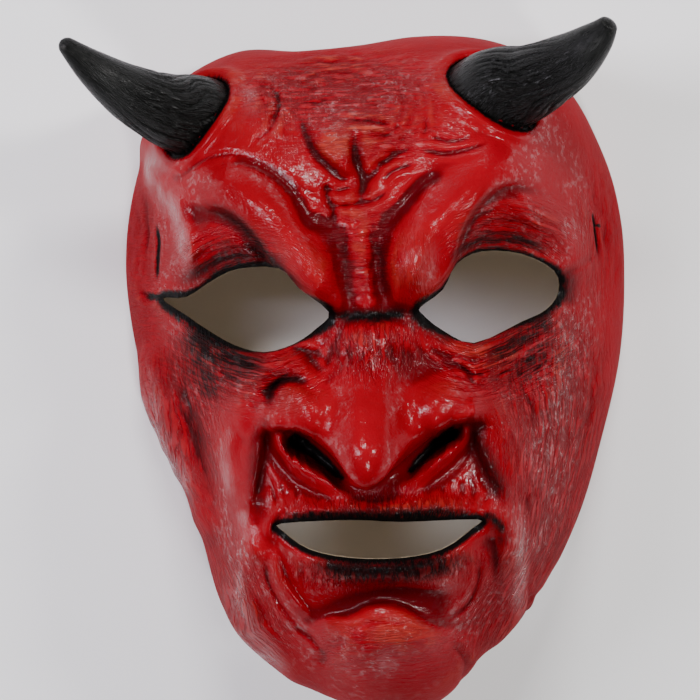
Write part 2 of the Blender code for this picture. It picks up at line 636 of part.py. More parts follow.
def main():
    for thing in list(bpy.data.objects):
        bpy.data.objects.remove(thing)
    skin, u, v = outer_skin(FACE_COLUMNS, FACE_ROWS)
    mask = build_mask(skin, u, v)
    k = INSIDE_COARSENING
    core = core_cutter("horn seat", u[::k, ::k], v[::k, ::k], SOCKET_DEPTH)
    socket_core = core_cutter("socket floor", u[::k, ::k], v[::k, ::k], SOCKET_DEPTH + SEAT_GAP)
    black = material("black latex", HORN_BLACK, 0.35)
    horns = []
    for name, horn in HORNS.items():
        body = horn_body(name, horn, 0.0, black)
        subtract(body, core)
        horns.append(body)
        socket = as_cutter(horn_body(name + " socket", horn, SEAT_GAP, None))
        subtract(socket, socket_core)
        subtract(mask, socket)
    stand_on_origin([mask] + horns)


main()
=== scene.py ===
import math

import bpy
import numpy as np
from mathutils import Matrix, Vector
from mathutils.kdtree import KDTree


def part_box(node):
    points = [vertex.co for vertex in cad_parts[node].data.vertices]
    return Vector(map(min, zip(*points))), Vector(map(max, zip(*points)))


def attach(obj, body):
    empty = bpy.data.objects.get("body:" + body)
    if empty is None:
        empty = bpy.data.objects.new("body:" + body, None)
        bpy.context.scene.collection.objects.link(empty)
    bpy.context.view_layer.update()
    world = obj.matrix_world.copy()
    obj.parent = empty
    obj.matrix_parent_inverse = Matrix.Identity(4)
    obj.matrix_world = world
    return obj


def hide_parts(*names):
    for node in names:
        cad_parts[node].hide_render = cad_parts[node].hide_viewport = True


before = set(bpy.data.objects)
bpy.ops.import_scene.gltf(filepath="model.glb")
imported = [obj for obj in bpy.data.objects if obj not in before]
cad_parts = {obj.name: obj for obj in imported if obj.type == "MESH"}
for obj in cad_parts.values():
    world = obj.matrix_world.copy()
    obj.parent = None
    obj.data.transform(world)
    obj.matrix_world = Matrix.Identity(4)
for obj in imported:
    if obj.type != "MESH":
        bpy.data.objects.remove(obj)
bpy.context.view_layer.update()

# Looks of the devil mask: a fine carving of the face, its two horns, paint, light and camera.
# The face is drawn in millimetres, seen from the front, and then set where the solid mask is.

maskLow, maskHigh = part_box("mask")
print("frame loaded")


# Plain helpers for curves and distances

def ease(t):
    t = np.clip(t, 0.0, 1.0)
    return t * t * (3.0 - 2.0 * t)


def smoothLine(points, steps=4, closed=False):
    p = np.array(points, float)
    ends = (p[-1:], p[:2]) if closed else (2 * p[:1] - p[1:2], 2 * p[-1:] - p[-2:-1])
    q = np.vstack([ends[0], p, ends[1]])
    out = []
    for i in range(len(q) - 3):
        a, b, c, d = q[i:i + 4]
        for k in range(steps):
            t = k / steps
            out.append(0.5 * (2 * b + (c - a) * t + (2 * a - 5 * b + 4 * c - d) * t ** 2
                              + (3 * b - a - 3 * c + d) * t ** 3))
    if not closed:
        out.append(q[-2])
    return np.array(out)


def nearestOn(x, y, line):
    # distance to the line, how far along it, and the side: 1 left of it, -1 right
    length = np.hypot(*np.diff(line, axis=0).T)
    total = length.sum()
    far = np.full(x.shape, 1e9)
    share = np.zeros(x.shape)
    side = np.ones(x.shape)
    passed = 0.0
    for a, b, run in zip(line[:-1], line[1:], length):
        way = b - a
        t = np.clip(((x - a[0]) * way[0] + (y - a[1]) * way[1]) / run ** 2, 0, 1)
        dx, dy = x - a[0] - t * way[0], y - a[1] - t * way[1]
        d = np.hypot(dx, dy)
        closer = d < far
        far = np.where(closer, d, far)
        share = np.where(closer, (passed + t * run) / total, share)
        side = np.where(closer, np.where(way[0] * dy - way[1] * dx < 0, -1.0, 1.0), side)
        passed += run
    return far, share, side


def spread(values, share):
    return np.interp(share, np.linspace(0, 1, len(values)), values)


def taper(share, part=0.18):
    return ease(np.minimum(share, 1 - share) / part + 0.15)


def near(x, y, line, reach):
    low, high = line.min(axis=0) - reach, line.max(axis=0) + reach
    return (x > low[0]) & (x < high[0]) & (y > low[1]) & (y < high[1])


def byPath(x, y, path, reach):
    # the points within reach of a smooth path, and where they lie beside it
    line = smoothLine(path)
    at = near(x, y, line, reach)
    return (at, *nearestOn(x[at], y[at], line))


def outsideOf(x, y, loop):
    # signed distance to a closed outline: negative inside it
    ring = np.vstack([loop, loop[:1]])
    far = nearestOn(x, y, ring)[0]
    inside = np.zeros(x.shape, bool)
    for a, b in zip(ring[:-1], ring[1:]):
        spans = (a[1] > y) != (b[1] > y)
        rise = b[1] - a[1] if b[1] != a[1] else 1e-9
        inside ^= spans & (x < (b[0] - a[0]) * (y - a[1]) / rise + a[0])
    return np.where(inside, -far, far)


# The shape of the casting, in millimetres

face = {
    "height": 92.0,
    "chinRise": 18.0,
    "crownRise": 12.0,
    "wall": 3.0,
    "centre": (0.0, 5.0),
    "sideFullness": (2.4, 1.35),
    "crownFullness": (3.2, 2.0),
    "chinFullness": (4.5, 2.2),
    "outline": [
        (86.9, 45.7), (82.5, 67.0), (71.4, 88.6), (56.0, 101.5), (38.0, 109.0), (20.0, 111.2),
        (0.6, 109.5), (-20.0, 108.5), (-40.5, 109.2), (-55.0, 102.5), (-69.6, 88.2), (-77.5, 70.0),
        (-83.1, 41.0), (-82.2, 18.0), (-76.5, -10.0), (-66.5, -34.0), (-61.4, -56.0), (-55.0, -77.5),
        (-42.5, -94.0), (-24.5, -108.6), (-4.2, -112.8), (14.0, -108.0), (34.0, -95.0), (51.5, -79.0),
        (65.0, -58.5), (76.2, -29.0), (84.2, 0.0), (87.0, 25.0),
    ],
    "eyeLeft": [
        (-69.0, 27.0), (-61.7, 26.7), (-52.0, 31.9), (-43.5, 34.8), (-30.1, 34.1), (-23.7, 27.1),
        (-14.4, 18.9), (-18.4, 14.0), (-26.4, 9.1), (-36.5, 6.9), (-46.4, 9.8), (-56.2, 16.0),
        (-62.0, 20.4), (-69.1, 25.4),
    ],
    "eyeRight": [
        (15.8, 19.0), (23.4, 24.3), (28.6, 32.7), (37.1, 36.3), (50.5, 34.9), (61.2, 29.0),
        (62.5, 21.9), (57.9, 16.1), (49.3, 12.5), (32.9, 6.3), (22.4, 11.2), (16.3, 16.6),
    ],
    "mouth": [
        (-33.5, -49.6), (-11.0, -49.4), (5.7, -50.9), (30.8, -51.6), (29.0, -54.5), (18.6, -60.7),
        (5.1, -62.7), (-11.6, -61.8), (-24.9, -58.4), (-33.0, -52.5),
    ],
    "openingEdge": (1.6, 1.0),  # width and drop
    "smoothAngle": 65,
}

# Rounded masses: centre, half widths, turn in degrees, height, flatness of the top
masses = [
    (-4, 76, 15, 12, 0, 4, 1.0), (-50, 82, 20, 18, 0, 7, 1.0), (42, 86, 22, 18, 0, 8, 1.0),
    (-42, 21, 26, 14, -8, -9, 1.3), (42, 21, 26, 14, 8, -9, 1.3), (12.5, 34, 8, 13, -12, 9, 1.5),
    (-19, 34, 7.5, 14, 30, 6, 1.4), (1, 9, 14, 8, 0, 5, 1.4), (-30, 1, 11, 6, 10, 4, 1.2),
    (0, -60, 40, 27, 0, 9, 1.4), (46, -12, 16, 22, 10, 4, 1.2), (-48, -22, 14, 24, -10, 4, 1.2),
    (0, -76.5, 20, 5.5, 0, -4, 1.2), (0, -97, 22, 13.5, 0, 15, 1.7), (-75, 52, 6, 18, 0, -3, 1.0),
    (78, 45, 6, 18, 0, -3, 1.0),
]

# Rolls of flesh: path, half widths and heights along it
rolls = [
    ([(-57, 61), (-47, 62.5), (-38, 59), (-30, 52), (-24, 43), (-18, 33), (-13, 25)],
     [8, 8, 7], [5, 8, 8, 7]),
    ([(13, 25), (12, 33), (16, 43), (24, 50), (33, 57), (43, 63), (56, 62)], [7, 8, 8], [6, 7, 8, 7, 4]),
    ([(-64, 38), (-56, 46), (-48, 46), (-40, 41)], [5.5], [3, 5, 3]),
    ([(31, 42), (38, 49), (50, 50), (62, 43), (69, 33)], [5.5], [3, 5, 3]),
    ([(-70, 78), (-67, 66), (-62, 56), (-58, 47), (-57, 37), (-59, 31)], [4.5], [2, 3, 3, 2]),
    ([(-3, 52), (-3, 40), (-2.5, 28), (-2, 20)], [6], [2, 4, 5, 3]),
    ([(-73.8, 5.9), (-74.4, -5.5), (-69.7, -16.8), (-65.2, -28.3), (-60, -37), (-58, -47)],
     [5], [4, 5, 3]),
    ([(-36, -0.6), (-44.5, -4.7), (-50.7, -10.4), (-54.1, -17.6), (-56.1, -27.3)], [4], [3, 5, 3]),
    ([(-41.7, -7.9), (-46.4, -14.3), (-50.4, -21.5), (-51.7, -29.2), (-50.6, -37), (-48.5, -43)],
     [4.5], [3, 6, 4]),
    ([(-41.8, -43.1), (-45.1, -48), (-44.3, -57.1)], [4.5], [5, 6, 5]),
    ([(-45.7, -59.3), (-47.8, -66.6), (-47.3, -74), (-44, -82), (-39, -89.5), (-31, -99)],
     [6], [5, 7, 3]),
    ([(62, 1), (61, -7), (56.6, -15)], [5], [4]),
    ([(36, -8), (41, -20), (45, -30), (48, -42)], [6], [3, 5, 3]),
    ([(36, -44), (41, -51), (42.3, -61.6), (42.7, -69), (40.5, -80), (34, -89), (25.7, -93)],
     [5], [3, 6, 5, 3]),
    ([(-26, -62), (-12, -66), (3, -67), (14, -67), (26, -63)], [4], [3, 4, 3]),
    ([(-31, -46), (-15, -45), (2, -46.5), (18, -46.5), (29, -48)], [3.5], [3, 3]),
    ([(-61, 10), (-50, 4), (-38, 2), (-26, 5)], [4.5], [3, 4, 2]),
    ([(62, 9), (52, 5), (40, 1), (28, 3)], [4.5], [3, 4, 2]),
]

# Folds: what lies left of the path stands over the other side. Path, step width, reach, heights
folds = [
    ([(-59, 60), (-53, 56), (-48, 54), (-42, 50), (-36.6, 44), (-32.6, 37), (-27.5, 31.5), (-20, 25),
      (-14, 20)], 1.8, 15, [3, 7, 7, 6]),
    ([(14, 20), (20, 24), (26, 30), (29, 38), (30.5, 43), (34.4, 49), (41.5, 55.5), (49, 58), (59, 57)],
     1.8, 15, [6, 7, 7, 3]),
    ([(-35, -11), (-35, -6), (-32, -3), (-27.6, -2.6), (-24, -3.8), (-21.5, -7.6)], 1.6, 9, [2, 4, 2]),
    ([(-44, -46), (-41, -36), (-38, -22), (-36, -8)], 2.0, 12, [4, 6, 3]),
    ([(30, -8), (31, -22), (32.5, -29.5), (35.3, -36.6), (38.7, -42.6), (42.3, -48)],
     2.0, 14, [3, 6, 4]),
    ([(-28, -64), (-20, -69), (-12, -70), (3, -71), (14, -73), (25, -74)], 1.8, 8, [2, 4, 3]),
    ([(24, -89), (16, -87), (10, -83), (4.6, -79), (-1, -77.5), (-7, -78), (-12.6, -81), (-19, -81.5),
      (-27, -83)], 1.8, 10, [2, 6, 4]),
    ([(-25.2, -80.5), (-30, -73.6), (-34.2, -66), (-35.3, -57)], 1.8, 10, [3, 4, 2]),
    ([(29.5, -49), (33.7, -53.8), (37.7, -60.7), (37, -72)], 1.8, 9, [2, 4, 2]),
    ([(-20, 85), (-18, 77), (-15, 71), (-10, 66), (-7, 63), (-2.7, 63)], 1.6, 10, [2, 4, 3]),
    ([(-59, 31), (-57.5, 40), (-58.5, 50), (-63, 61), (-68, 74)], 3.2, 9, [2, 4.5, 4]),
]

# Grooves that are also in the solid mask: path, half width, depths
grooves = [
    ([(-20, 85), (-18, 77), (-15, 71), (-10, 66), (-7, 63), (-2.7, 63)], 1.8, [1, 3, 3]),
    ([(-1.5, 80), (-3.4, 73), (-2.2, 67), (-0.8, 61), (-1.9, 56), (-0.4, 51)], 1.7, [1.5, 3.5, 3.5, 2]),
    ([(-0.2, 61), (7, 67.5), (13, 70)], 1.8, [3, 2]),
    ([(-53, 69), (-47, 70), (-40, 70), (-34, 67.5), (-29, 64), (-25, 60), (-22, 55), (-19, 50), (-7, 47)],
     2.0, [2, 4, 3]),
    ([(3.8, 46.4), (10.4, 51.5), (15.4, 56.6), (20, 60.3), (27, 62.0)], 1.9, [3, 4, 0.8]),
    ([(-8, 47), (-9.5, 36), (-8.5, 26), (-6.5, 18)], 2.0, [2, 4, 5]),
    ([(3.6, 46), (2.5, 36), (3.5, 26), (4.5, 18)], 2.0, [3, 4, 5]),
    ([(-15, 18.5), (-8, 17), (0, 17), (8, 17), (15, 18)], 2.0, [4, 5, 4]),
    ([(-35, -11), (-35.5, -6), (-32, -2.6), (-27.6, -2), (-23.5, -3.4), (-20.5, -7.5), (-19.5, -12)],
     1.9, [3, 6, 4, 1]),
    ([(-29, 8), (-24, 6.5), (-20, 2), (-19, -2)], 1.8, [2, 3, 2]),
    ([(-38, -14), (-36.5, -22), (-33, -30), (-27.5, -36), (-20, -41), (-11, -44)], 2.2, [2, 3, 2]),
    ([(34, -16), (31.5, -24), (27.5, -30), (21, -36), (13, -41)], 2.2, [2, 3, 2]),
    ([(-64, 2), (-63, -12), (-59.5, -24), (-56, -38), (-53, -52)], 2.4, [3, 4, 2]),
    ([(-14, -89), (-20.6, -92.8), (-23.2, -98)], 2.0, [2, 3]),
]

templeSlits = [[(-71.4, 52.7), (-70.4, 46.3), (-71.1, 39.6), (-72.1, 32)], [(77, 49), (77.6, 43), (78.2, 33)]]

# Creases with a soft lip on both sides, finer than the solid mask holds: path, half width, depth
creases = [
    ([(-36, 97), (-29, 93), (-28, 87), (-33, 80)], 1.0, 1.6),
    ([(-30, 99), (-27, 90), (-30, 81), (-38, 75)], 0.9, 1.2),
    ([(-6, 82), (3, 81), (11, 78.5)], 0.9, 1.2),
    ([(1, 77), (6, 75.5), (12, 77)], 0.9, 1.0),
    ([(-12, 64), (-13, 58), (-11, 52), (-12, 47)], 1.0, 1.4),
    ([(5, 60), (9, 64), (16, 66)], 0.9, 1.2),
    ([(-16, 60), (-9, 59), (-3, 60)], 0.9, 1.2),
    ([(-14, 54.5), (-6, 54), (2, 55), (8, 58)], 0.9, 1.2),
    ([(18, 71), (26, 69), (34, 70), (42, 72)], 0.9, 1.0),
    ([(20, 76), (28, 73), (36, 74)], 0.8, 0.8),
    ([(-62, 66), (-54, 71), (-46, 73), (-38, 72)], 0.9, 1.2),
    ([(-42, 44), (-38, 41), (-34, 36)], 0.9, 1.6),
    ([(-33, 5), (-26, 7), (-20, 6), (-15, 2)], 0.9, 1.2),
    ([(18, 5), (24, 2), (30, -3), (32, -9)], 0.9, 1.2),
    ([(-30, -44), (-35, -49), (-37, -55)], 1.0, 1.6),
    ([(-39, -60), (-39, -68), (-35, -77), (-29, -85)], 1.0, 1.6),
    ([(-32, -84), (-26, -88), (-21, -95)], 1.0, 1.2),
    ([(20, -92), (23, -97), (20, -103)], 1.0, 1.2),
    ([(-13, -86), (-4, -83.5), (5, -85), (12, -89)], 0.9, 1.0),
    ([(31, -63), (30, -72), (26, -80), (20, -84)], 0.9, 1.2),
    ([(64, 28), (70, 30), (77, 34)], 1.0, 1.2),
    ([(-72, 27), (-76, 27), (-79, 30)], 1.0, 1.2),
] + [(path, 0.7, 1.6) for path in templeSlits]

# Sets of wrinkles: first line, last line, how many, half width, depth
wrinkles = [
    ([(-34, 104), (-10, 106.5), (16, 103)], [(-24, 86), (-8, 88), (8, 85)], 11, 0.75, 0.65),
    ([(-37, 99), (-33, 88), (-37, 76)], [(-26, 100), (-24, 90), (-24, 78)], 3, 0.9, 0.8),
    ([(10, 99), (13, 86), (9, 76)], [(23, 96), (25, 82), (24, 71)], 5, 0.9, 0.9),
    ([(-60, 14), (-51, 7), (-40, 2), (-28, 3.5), (-18, 7)],
     [(-56, 1), (-49, -4), (-40, -6), (-32, -4), (-26, 0)], 6, 0.8, 1.0),
    ([(60, 12), (50, 8), (38, 2.5), (26, 4), (17, 9)], [(60, 0), (50, -5), (38, -8), (28, -5), (22, 0)],
     6, 0.8, 1.0),
    ([(-12, 14), (-17, 7), (-22, -1)], [(10, 14), (14, 6), (19, -3)], 9, 0.8, 0.7),
    ([(-6.5, 56), (-7, 40), (-6, 24)], [(2, 55), (1.5, 40), (2.5, 24)], 3, 0.8, 0.7),
    ([(-12, 52), (-3, 50), (6, 52)], [(-9, 24), (-2, 23), (5, 24)], 8, 0.8, 0.5),
    ([(-24, 66), (-18, 60), (-12, 58)], [(-16, 36), (-11, 35), (-8, 36)], 6, 0.8, 0.5),
    ([(0, 78), (8, 77.5), (15, 80)], [(2, 66), (9, 68), (17, 72)], 4, 0.8, 0.8),
    ([(36, -6), (43, -22), (46, -40), (47, -62)], [(73, 12), (73, -12), (66, -34), (54, -62)], 12, 0.9, 0.7),
    ([(-79, 20), (-75, -10), (-65, -36), (-58, -60)], [(-66, -2), (-62, -18), (-57, -38), (-53, -58)],
     5, 0.9, 0.7),
    ([(-81, 62), (-81, 42), (-80, 22)], [(-73, 62), (-74, 44), (-76, 32)], 4, 0.8, 0.5),
    ([(69, 62), (71, 46), (70, 34)], [(83, 62), (84, 42), (83, 20)], 6, 0.9, 0.6),
    ([(-27, -62), (-29, -71)], [(27, -60), (31, -71)], 19, 0.8, 0.8),
    ([(-37, -33), (-36, -41), (-31, -48)], [(-20, -42), (-20, -45), (-19, -48.5)], 6, 0.8, 0.8),
    ([(14, -41), (15, -45), (15, -49)], [(33, -35), (35, -43), (32, -50)], 6, 0.8, 0.8),
    ([(-63, 37), (-55, 44.5), (-46, 45), (-38, 39)], [(-60, 31.5), (-54, 37), (-46, 38.5), (-38, 37.5)],
     3, 0.8, 0.8),
    ([(32, 44), (38, 51), (50, 52), (62, 45), (70, 35)], [(32, 39), (40, 40.5), (50, 39), (60, 34), (66, 28)],
     5, 0.8, 0.9),
    ([(-52, -57), (-51, -70), (-43, -86), (-31, -100)], [(-42, -58), (-42, -68), (-36, -82), (-28, -92)],
     4, 0.9, 0.7),
    ([(45, -60), (47, -72), (43, -84), (31, -97)], [(60, -62), (53, -75), (43, -90), (27, -103)],
     5, 0.9, 0.7),
    ([(-26, 30), (-21, 38), (-26, 48)], [(-14, 28), (-14, 38), (-18, 46)], 3, 0.8, 0.5),
    ([(-58, 64), (-48, 66), (-38, 63)], [(-56, 58), (-48, 58), (-40, 54)], 3, 0.8, 0.6),
]

nose = {
    "masses": [(-5, -27, 13, 12, 0, 7, 1.4), (-27, -13, 10, 11, 0, 12, 1.7), (23, -15, 10, 11, 0, 11, 1.7)],
    "rolls": [
        ([(-1, 10), (-2, 0), (-4, -14), (-5, -24), (-5, -33)], [10, 11, 12, 13, 12], [4, 8, 11, 14, 8]),
        ([(-2, 4), (-4, -12), (-4, -26)], [20, 27, 24], [2, 11, 11]),
    ],
    "underside": [
        (-46, -19), (-34, -18.5), (-29, -19.5), (-23, -21.5), (-16.5, -26.6), (-11.5, -33.3),
        (-5.8, -37.9), (1.5, -34.3), (7, -29.8), (14, -24.5), (21, -22.5), (29, -19), (42, -17),
        (42, 30), (-46, 30),
    ],
    "edge": 2.0,
    "nostrilTaper": 0.35,
    "wings": [
        ([(-35.5, -13), (-33.6, -20.4), (-30.8, -26.5), (-26, -31.8), (-20.4, -35.8), (-13, -39)],
         [2.4], [2.5, 7, 6, 3]),
        ([(31, -15.5), (29, -21.6), (25.7, -25.4), (21, -29.5), (15, -34), (9, -37.5)],
         [2.4], [2.5, 7, 6, 3]),
    ],
    "nostrils": [
        ([(-27.5, -22.8), (-23.0, -26.0), (-18.0, -30.5), (-13.5, -35.5)], 3.6, 9.0, 1.6),
        ([(24.0, -22.9), (18.5, -26.5), (13.5, -30.5), (9.5, -34.5)], 3.2, 9.0, 1.6),
    ],
}

rims = [("eyeLeft", 2.5, 2.4, 1.6), ("eyeRight", 2.5, 2.4, 1.6), ("mouth", 3.0, 2.6, 2.0)]

# Overhangs: centre, half width, height where the lean starts, height over which it grows, shift
leans = [
    (-4, -28, 17, 103, 20, (0, -5)), (-22, 44, 20, 84, 12, (0, -2)), (18, 44, 20, 84, 12, (0, -2)),
]

horns = {
    "hornLeft": {
        "node": "horn_left",
        "root": (-37.5, 74.5, 37.0),
        "line": [(-54.2, 85.6, 51.5), (-65, 89.3, 60), (-77.2, 95.5, 68.5), (-88.5, 104, 76), (-98, 113, 82)],
        "diameters": [30, 29.2, 24.5, 18.8, 12, 4.6],
    },
    "hornRight": {
        "node": "horn_right",
        "root": (30, 79, 48.5),
        "line": [(45, 88.6, 62.5), (56.8, 91.9, 71), (68.9, 97.4, 80),
                 (77.8, 103.8, 87), (83.2, 109.5, 91.5)],
        "diameters": [32.5, 31, 25, 19.5, 12.5, 5.6],
    },
}


def heightOfMasses(x, y, items):
    z = np.zeros(x.shape)
    for cx, cy, wide, tall, turn, height, flat in items:
        c, s = math.cos(math.radians(turn)), math.sin(math.radians(turn))
        a = ((x - cx) * c + (y - cy) * s) / wide
        b = ((y - cy) * c - (x - cx) * s) / tall
        z += height * np.exp(-(a * a + b * b) ** flat)
    return z


def heightOfRolls(x, y, items):
    z = np.zeros(x.shape)
    for path, widths, heights in items:
        at, far, share, _ = byPath(x, y, path, 2.5 * max(widths))
        z[at] += spread(heights, share) * np.exp(-(far / spread(widths, share)) ** 2)
    return z


def openingLoop(name):
    return smoothLine(face[name], 2, closed=True)


def nostrilHalf(half, share):
    # a nostril narrows towards the end of its path
    return half * (1 - nose["nostrilTaper"] * share)


def mainForms(x, y):
    # nearly all of this carving is in the solid mask too
    z = heightOfMasses(x, y, masses) + heightOfRolls(x, y, rolls)
    for path, width, depths in grooves:
        at, far, share, _ = byPath(x, y, path, 2.5 * width)
        z[at] -= spread(depths, share) * taper(share) * np.exp(-(far / width) ** 2)
    for path, edge, reach, heights in folds:
        at, far, share, side = byPath(x, y, path, 2.0 * reach)
        step = ease(far * side / edge + 0.5) * np.exp(-(far / reach) ** 2)
        z[at] += spread(heights, share) * taper(share) * step
    for name, away, width, height in rims:
        loop = openingLoop(name)
        at = near(x, y, loop, away + 2.5 * width)
        edge = outsideOf(x[at], y[at], loop)
        z[at] += height * np.exp(-((edge - away) / width) ** 2)
        edgeWidth, edgeDrop = face["openingEdge"]
        z[at] -= edgeDrop * ease(1 - edge / edgeWidth)
    loop = smoothLine(nose["underside"], 3, closed=True)
    at = near(x, y, loop, nose["edge"])
    above = ease(0.5 - outsideOf(x[at], y[at], loop) / nose["edge"])
    noseForm = heightOfMasses(x[at], y[at], nose["masses"]) + heightOfRolls(x[at], y[at], nose["rolls"])
    z[at] += above * noseForm
    z += heightOfRolls(x, y, nose["wings"])
    for path, half, depth, edge in nose["nostrils"]:
        at, far, share, _ = byPath(x, y, path, half + edge)
        z[at] -= depth * ease((nostrilHalf(half, share) - far) / edge + 0.5)
    return z


def softForms(x, y, blur=1.5):
    z = 2 * mainForms(x, y)
    for turn in np.linspace(0, 2 * math.pi, 8, endpoint=False):
        z += mainForms(x + blur * math.cos(turn), y + blur * math.sin(turn))
    return z / 10


# A crease in half widths: how far it reaches, and the lip on each side. A wrinkle is wiggled and uneven
creaseShape = {"reach": 4.5, "lip": 0.35, "lipAway": 2.3, "lipWidth": 1.2, "fades": 11}
wrinkleShape = {"wiggle": 0.5, "unevenGap": 0.3, "unevenDepth": 0.45, "fading": 0.6}


def cutCrease(x, y, z, line, width, depth, fading=0.0, phase=0.0):
    at = near(x, y, line, creaseShape["reach"] * width)
    far, share, _ = nearestOn(x[at], y[at], line)
    lipAt = (far - creaseShape["lipAway"] * width) / (creaseShape["lipWidth"] * width)
    valley = np.exp(-(far / width) ** 2) - creaseShape["lip"] * np.exp(-lipAt ** 2)
    strength = 1 - fading * (0.5 + 0.5 * np.sin(creaseShape["fades"] * share + phase))
    z[at] -= depth * taper(share, 0.3) * strength * valley


def fineLines(x, y):
    z = np.zeros(x.shape)
    for path, width, depth in creases:
        cutCrease(x, y, z, smoothLine(path), width, depth)
    for number, (first, last, count, width, depth) in enumerate(wrinkles):
        a, b = smoothLine(first, 6), smoothLine(last, 6)
        for i in range(count):
            t = (i + wrinkleShape["unevenGap"] * math.sin(5.1 * i + number)) / (count - 1)
            line = a + t * (b - a)
            line[:, 1] += wrinkleShape["wiggle"] * np.sin(line[:, 0] * 0.7 + 2.3 * i)
            line[:, 0] += wrinkleShape["wiggle"] * np.sin(line[:, 1] * 0.6 + 1.7 * i)
            cut = depth * (1.0 + wrinkleShape["unevenDepth"] * math.sin(3.7 * i + number))
            cutCrease(x, y, z, line, width, cut, wrinkleShape["fading"], 2.9 * i)
    return z


def outlineRadius(angle):
    p = np.array(face["outline"]) - face["centre"]
    turn = np.arctan2(p[:, 1], p[:, 0])
    order = np.argsort(turn)
    turn, radius = turn[order], np.hypot(p[:, 0], p[:, 1])[order]
    turn = np.concatenate([turn[-2:] - 2 * math.pi, turn, turn[:2] + 2 * math.pi])
    radius = np.concatenate([radius[-2:], radius, radius[:2]])
    slope = np.gradient(radius, turn)
    i = np.clip(np.searchsorted(turn, angle) - 1, 0, len(turn) - 2)
    step = turn[i + 1] - turn[i]
    t = (angle - turn[i]) / step
    return ((2 * t ** 3 - 3 * t ** 2 + 1) * radius[i] + (t ** 3 - 2 * t ** 2 + t) * step * slope[i]
            + (3 * t ** 2 - 2 * t ** 3) * radius[i + 1] + (t ** 3 - t ** 2) * step * slope[i + 1])


def bareDome(u, v, inset=0.0):
    x = u * np.sqrt(1 - v * v / 2)
    y = v * np.sqrt(1 - u * u / 2)
    out, turn = np.hypot(x, y), np.arctan2(y, x)
    phi = np.minimum(out, 1.0) * math.pi / 2
    up, down = np.maximum(np.sin(turn), 0) ** 2, np.maximum(-np.sin(turn), 0) ** 2
    across = np.cos(turn) ** 2
    plan, rise = (across * face["sideFullness"][i] + up * face["crownFullness"][i]
                  + down * face["chinFullness"][i] for i in (0, 1))
    rim = (face["crownRise"] * ease((np.sin(turn) - 0.6) / 0.4)
           + face["chinRise"] * ease((-np.sin(turn) - 0.6) / 0.4))
    reach = (outlineRadius(turn) - inset) * np.sin(phi) ** (2 / plan)
    height = rim + (face["height"] - inset - rim) * np.maximum(np.cos(phi), 0) ** (2 / rise)
    cx, cy = face["centre"]
    return np.stack([cx + reach * np.cos(turn), cy + reach * np.sin(turn), height], -1), out


def normalsOf(place):
    n = np.cross(np.gradient(place, axis=1), np.gradient(place, axis=0))
    return n / np.maximum(np.linalg.norm(n, axis=-1, keepdims=True), 1e-9)


def raised(place, out, height, way=None):
    if way is None:
        lean = ease((out - 0.55) / 0.3)[..., None]
        way = (1 - lean) * np.array([0.0, 0.0, 1.0]) + lean * normalsOf(place)
        way /= np.linalg.norm(way, axis=-1, keepdims=True)
    return place + way * (height * ease((1 - out) / 0.1))[..., None]


def overhung(place):
    moved = place.copy()
    for cx, cy, half, start, grow, (dx, dy) in leans:
        close = np.exp(-(((place[..., 0] - cx) ** 2 + (place[..., 1] - cy) ** 2) / half ** 2))
        share = close * ease((place[..., 2] - start) / grow)
        moved[..., 0] += dx * share
        moved[..., 1] += dy * share
    return moved


footPoint = 5  # the point of a horn's line at the end of its foot


def hornLine(horn, steps=footPoint):
    line = smoothLine([horn["root"]] + horn["line"], steps)
    size = np.array(horn["diameters"]) / 2
    radius = np.interp(np.linspace(0, 1, len(line)), np.linspace(0, 1, len(size)), size)
    return line, radius


def fromHorn(place, horn):
    line, radius = hornLine(horn)
    way = line[footPoint] - line[0]
    way /= np.linalg.norm(way)
    rel = place - line[0]
    along = rel @ way
    away = np.linalg.norm(rel - along[..., None] * way, axis=-1)
    return np.where(along > -20, away, 1e3) - radius[footPoint]


# Cells of the skin: their number, how many finer ones each becomes, and how they crowd at the front
meshing = {
    "cells": (68, 78), "finer": 4, "rounds": 30, "pace": 0.6, "crowding": 0.5,
    "frontWeight": 0.8, "frontHalf": (52, 75), "frontY": -5,
}


def crowded(share):
    return share * (1 - meshing["crowding"] + meshing["crowding"] * share ** 2)


def evenedOut(columns, rows):
    # cells are about equally large over the carving, and finer at the front of the face
    wide, tall = meshing["frontHalf"]
    across, down = np.linspace(-1, 1, columns + 1), np.linspace(-1, 1, rows + 1)
    u, v = np.meshgrid(crowded(across), crowded(down))
    for _ in range(meshing["rounds"]):
        place, out = bareDome(u, v)
        place = raised(place, out, softForms(place[..., 0], place[..., 1]))
        frontAt = (place[..., 1] - meshing["frontY"]) / tall
        front = 1 + meshing["frontWeight"] * np.exp(-(place[..., 0] / wide) ** 4 - frontAt ** 4)
        pull = {}
        for axis in (0, 1):
            run = np.linalg.norm(np.diff(place, axis=axis), axis=-1)
            step = np.hypot(np.diff(u, axis=axis), np.diff(v, axis=axis))
            part = (front[1:] + front[:-1]) / 2 if axis == 0 else (front[:, 1:] + front[:, :-1]) / 2
            pull[axis] = part * run / np.maximum(step, 1e-6)
        n, s, e, w = pull[0][1:, 1:-1], pull[0][:-1, 1:-1], pull[1][1:-1, 1:], pull[1][1:-1, :-1]
        total = n + s + e + w
        for grid in (u, v):
            new = n * grid[2:, 1:-1] + s * grid[:-2, 1:-1] + e * grid[1:-1, 2:] + w * grid[1:-1, :-2]
            grid[1:-1, 1:-1] += meshing["pace"] * (new / total - grid[1:-1, 1:-1])
    return u, v


def refined(grid, times):
    # smooth curves through the rows, then through the columns
    rows = smoothLine(grid, times)
    return smoothLine(rows.T, times).T


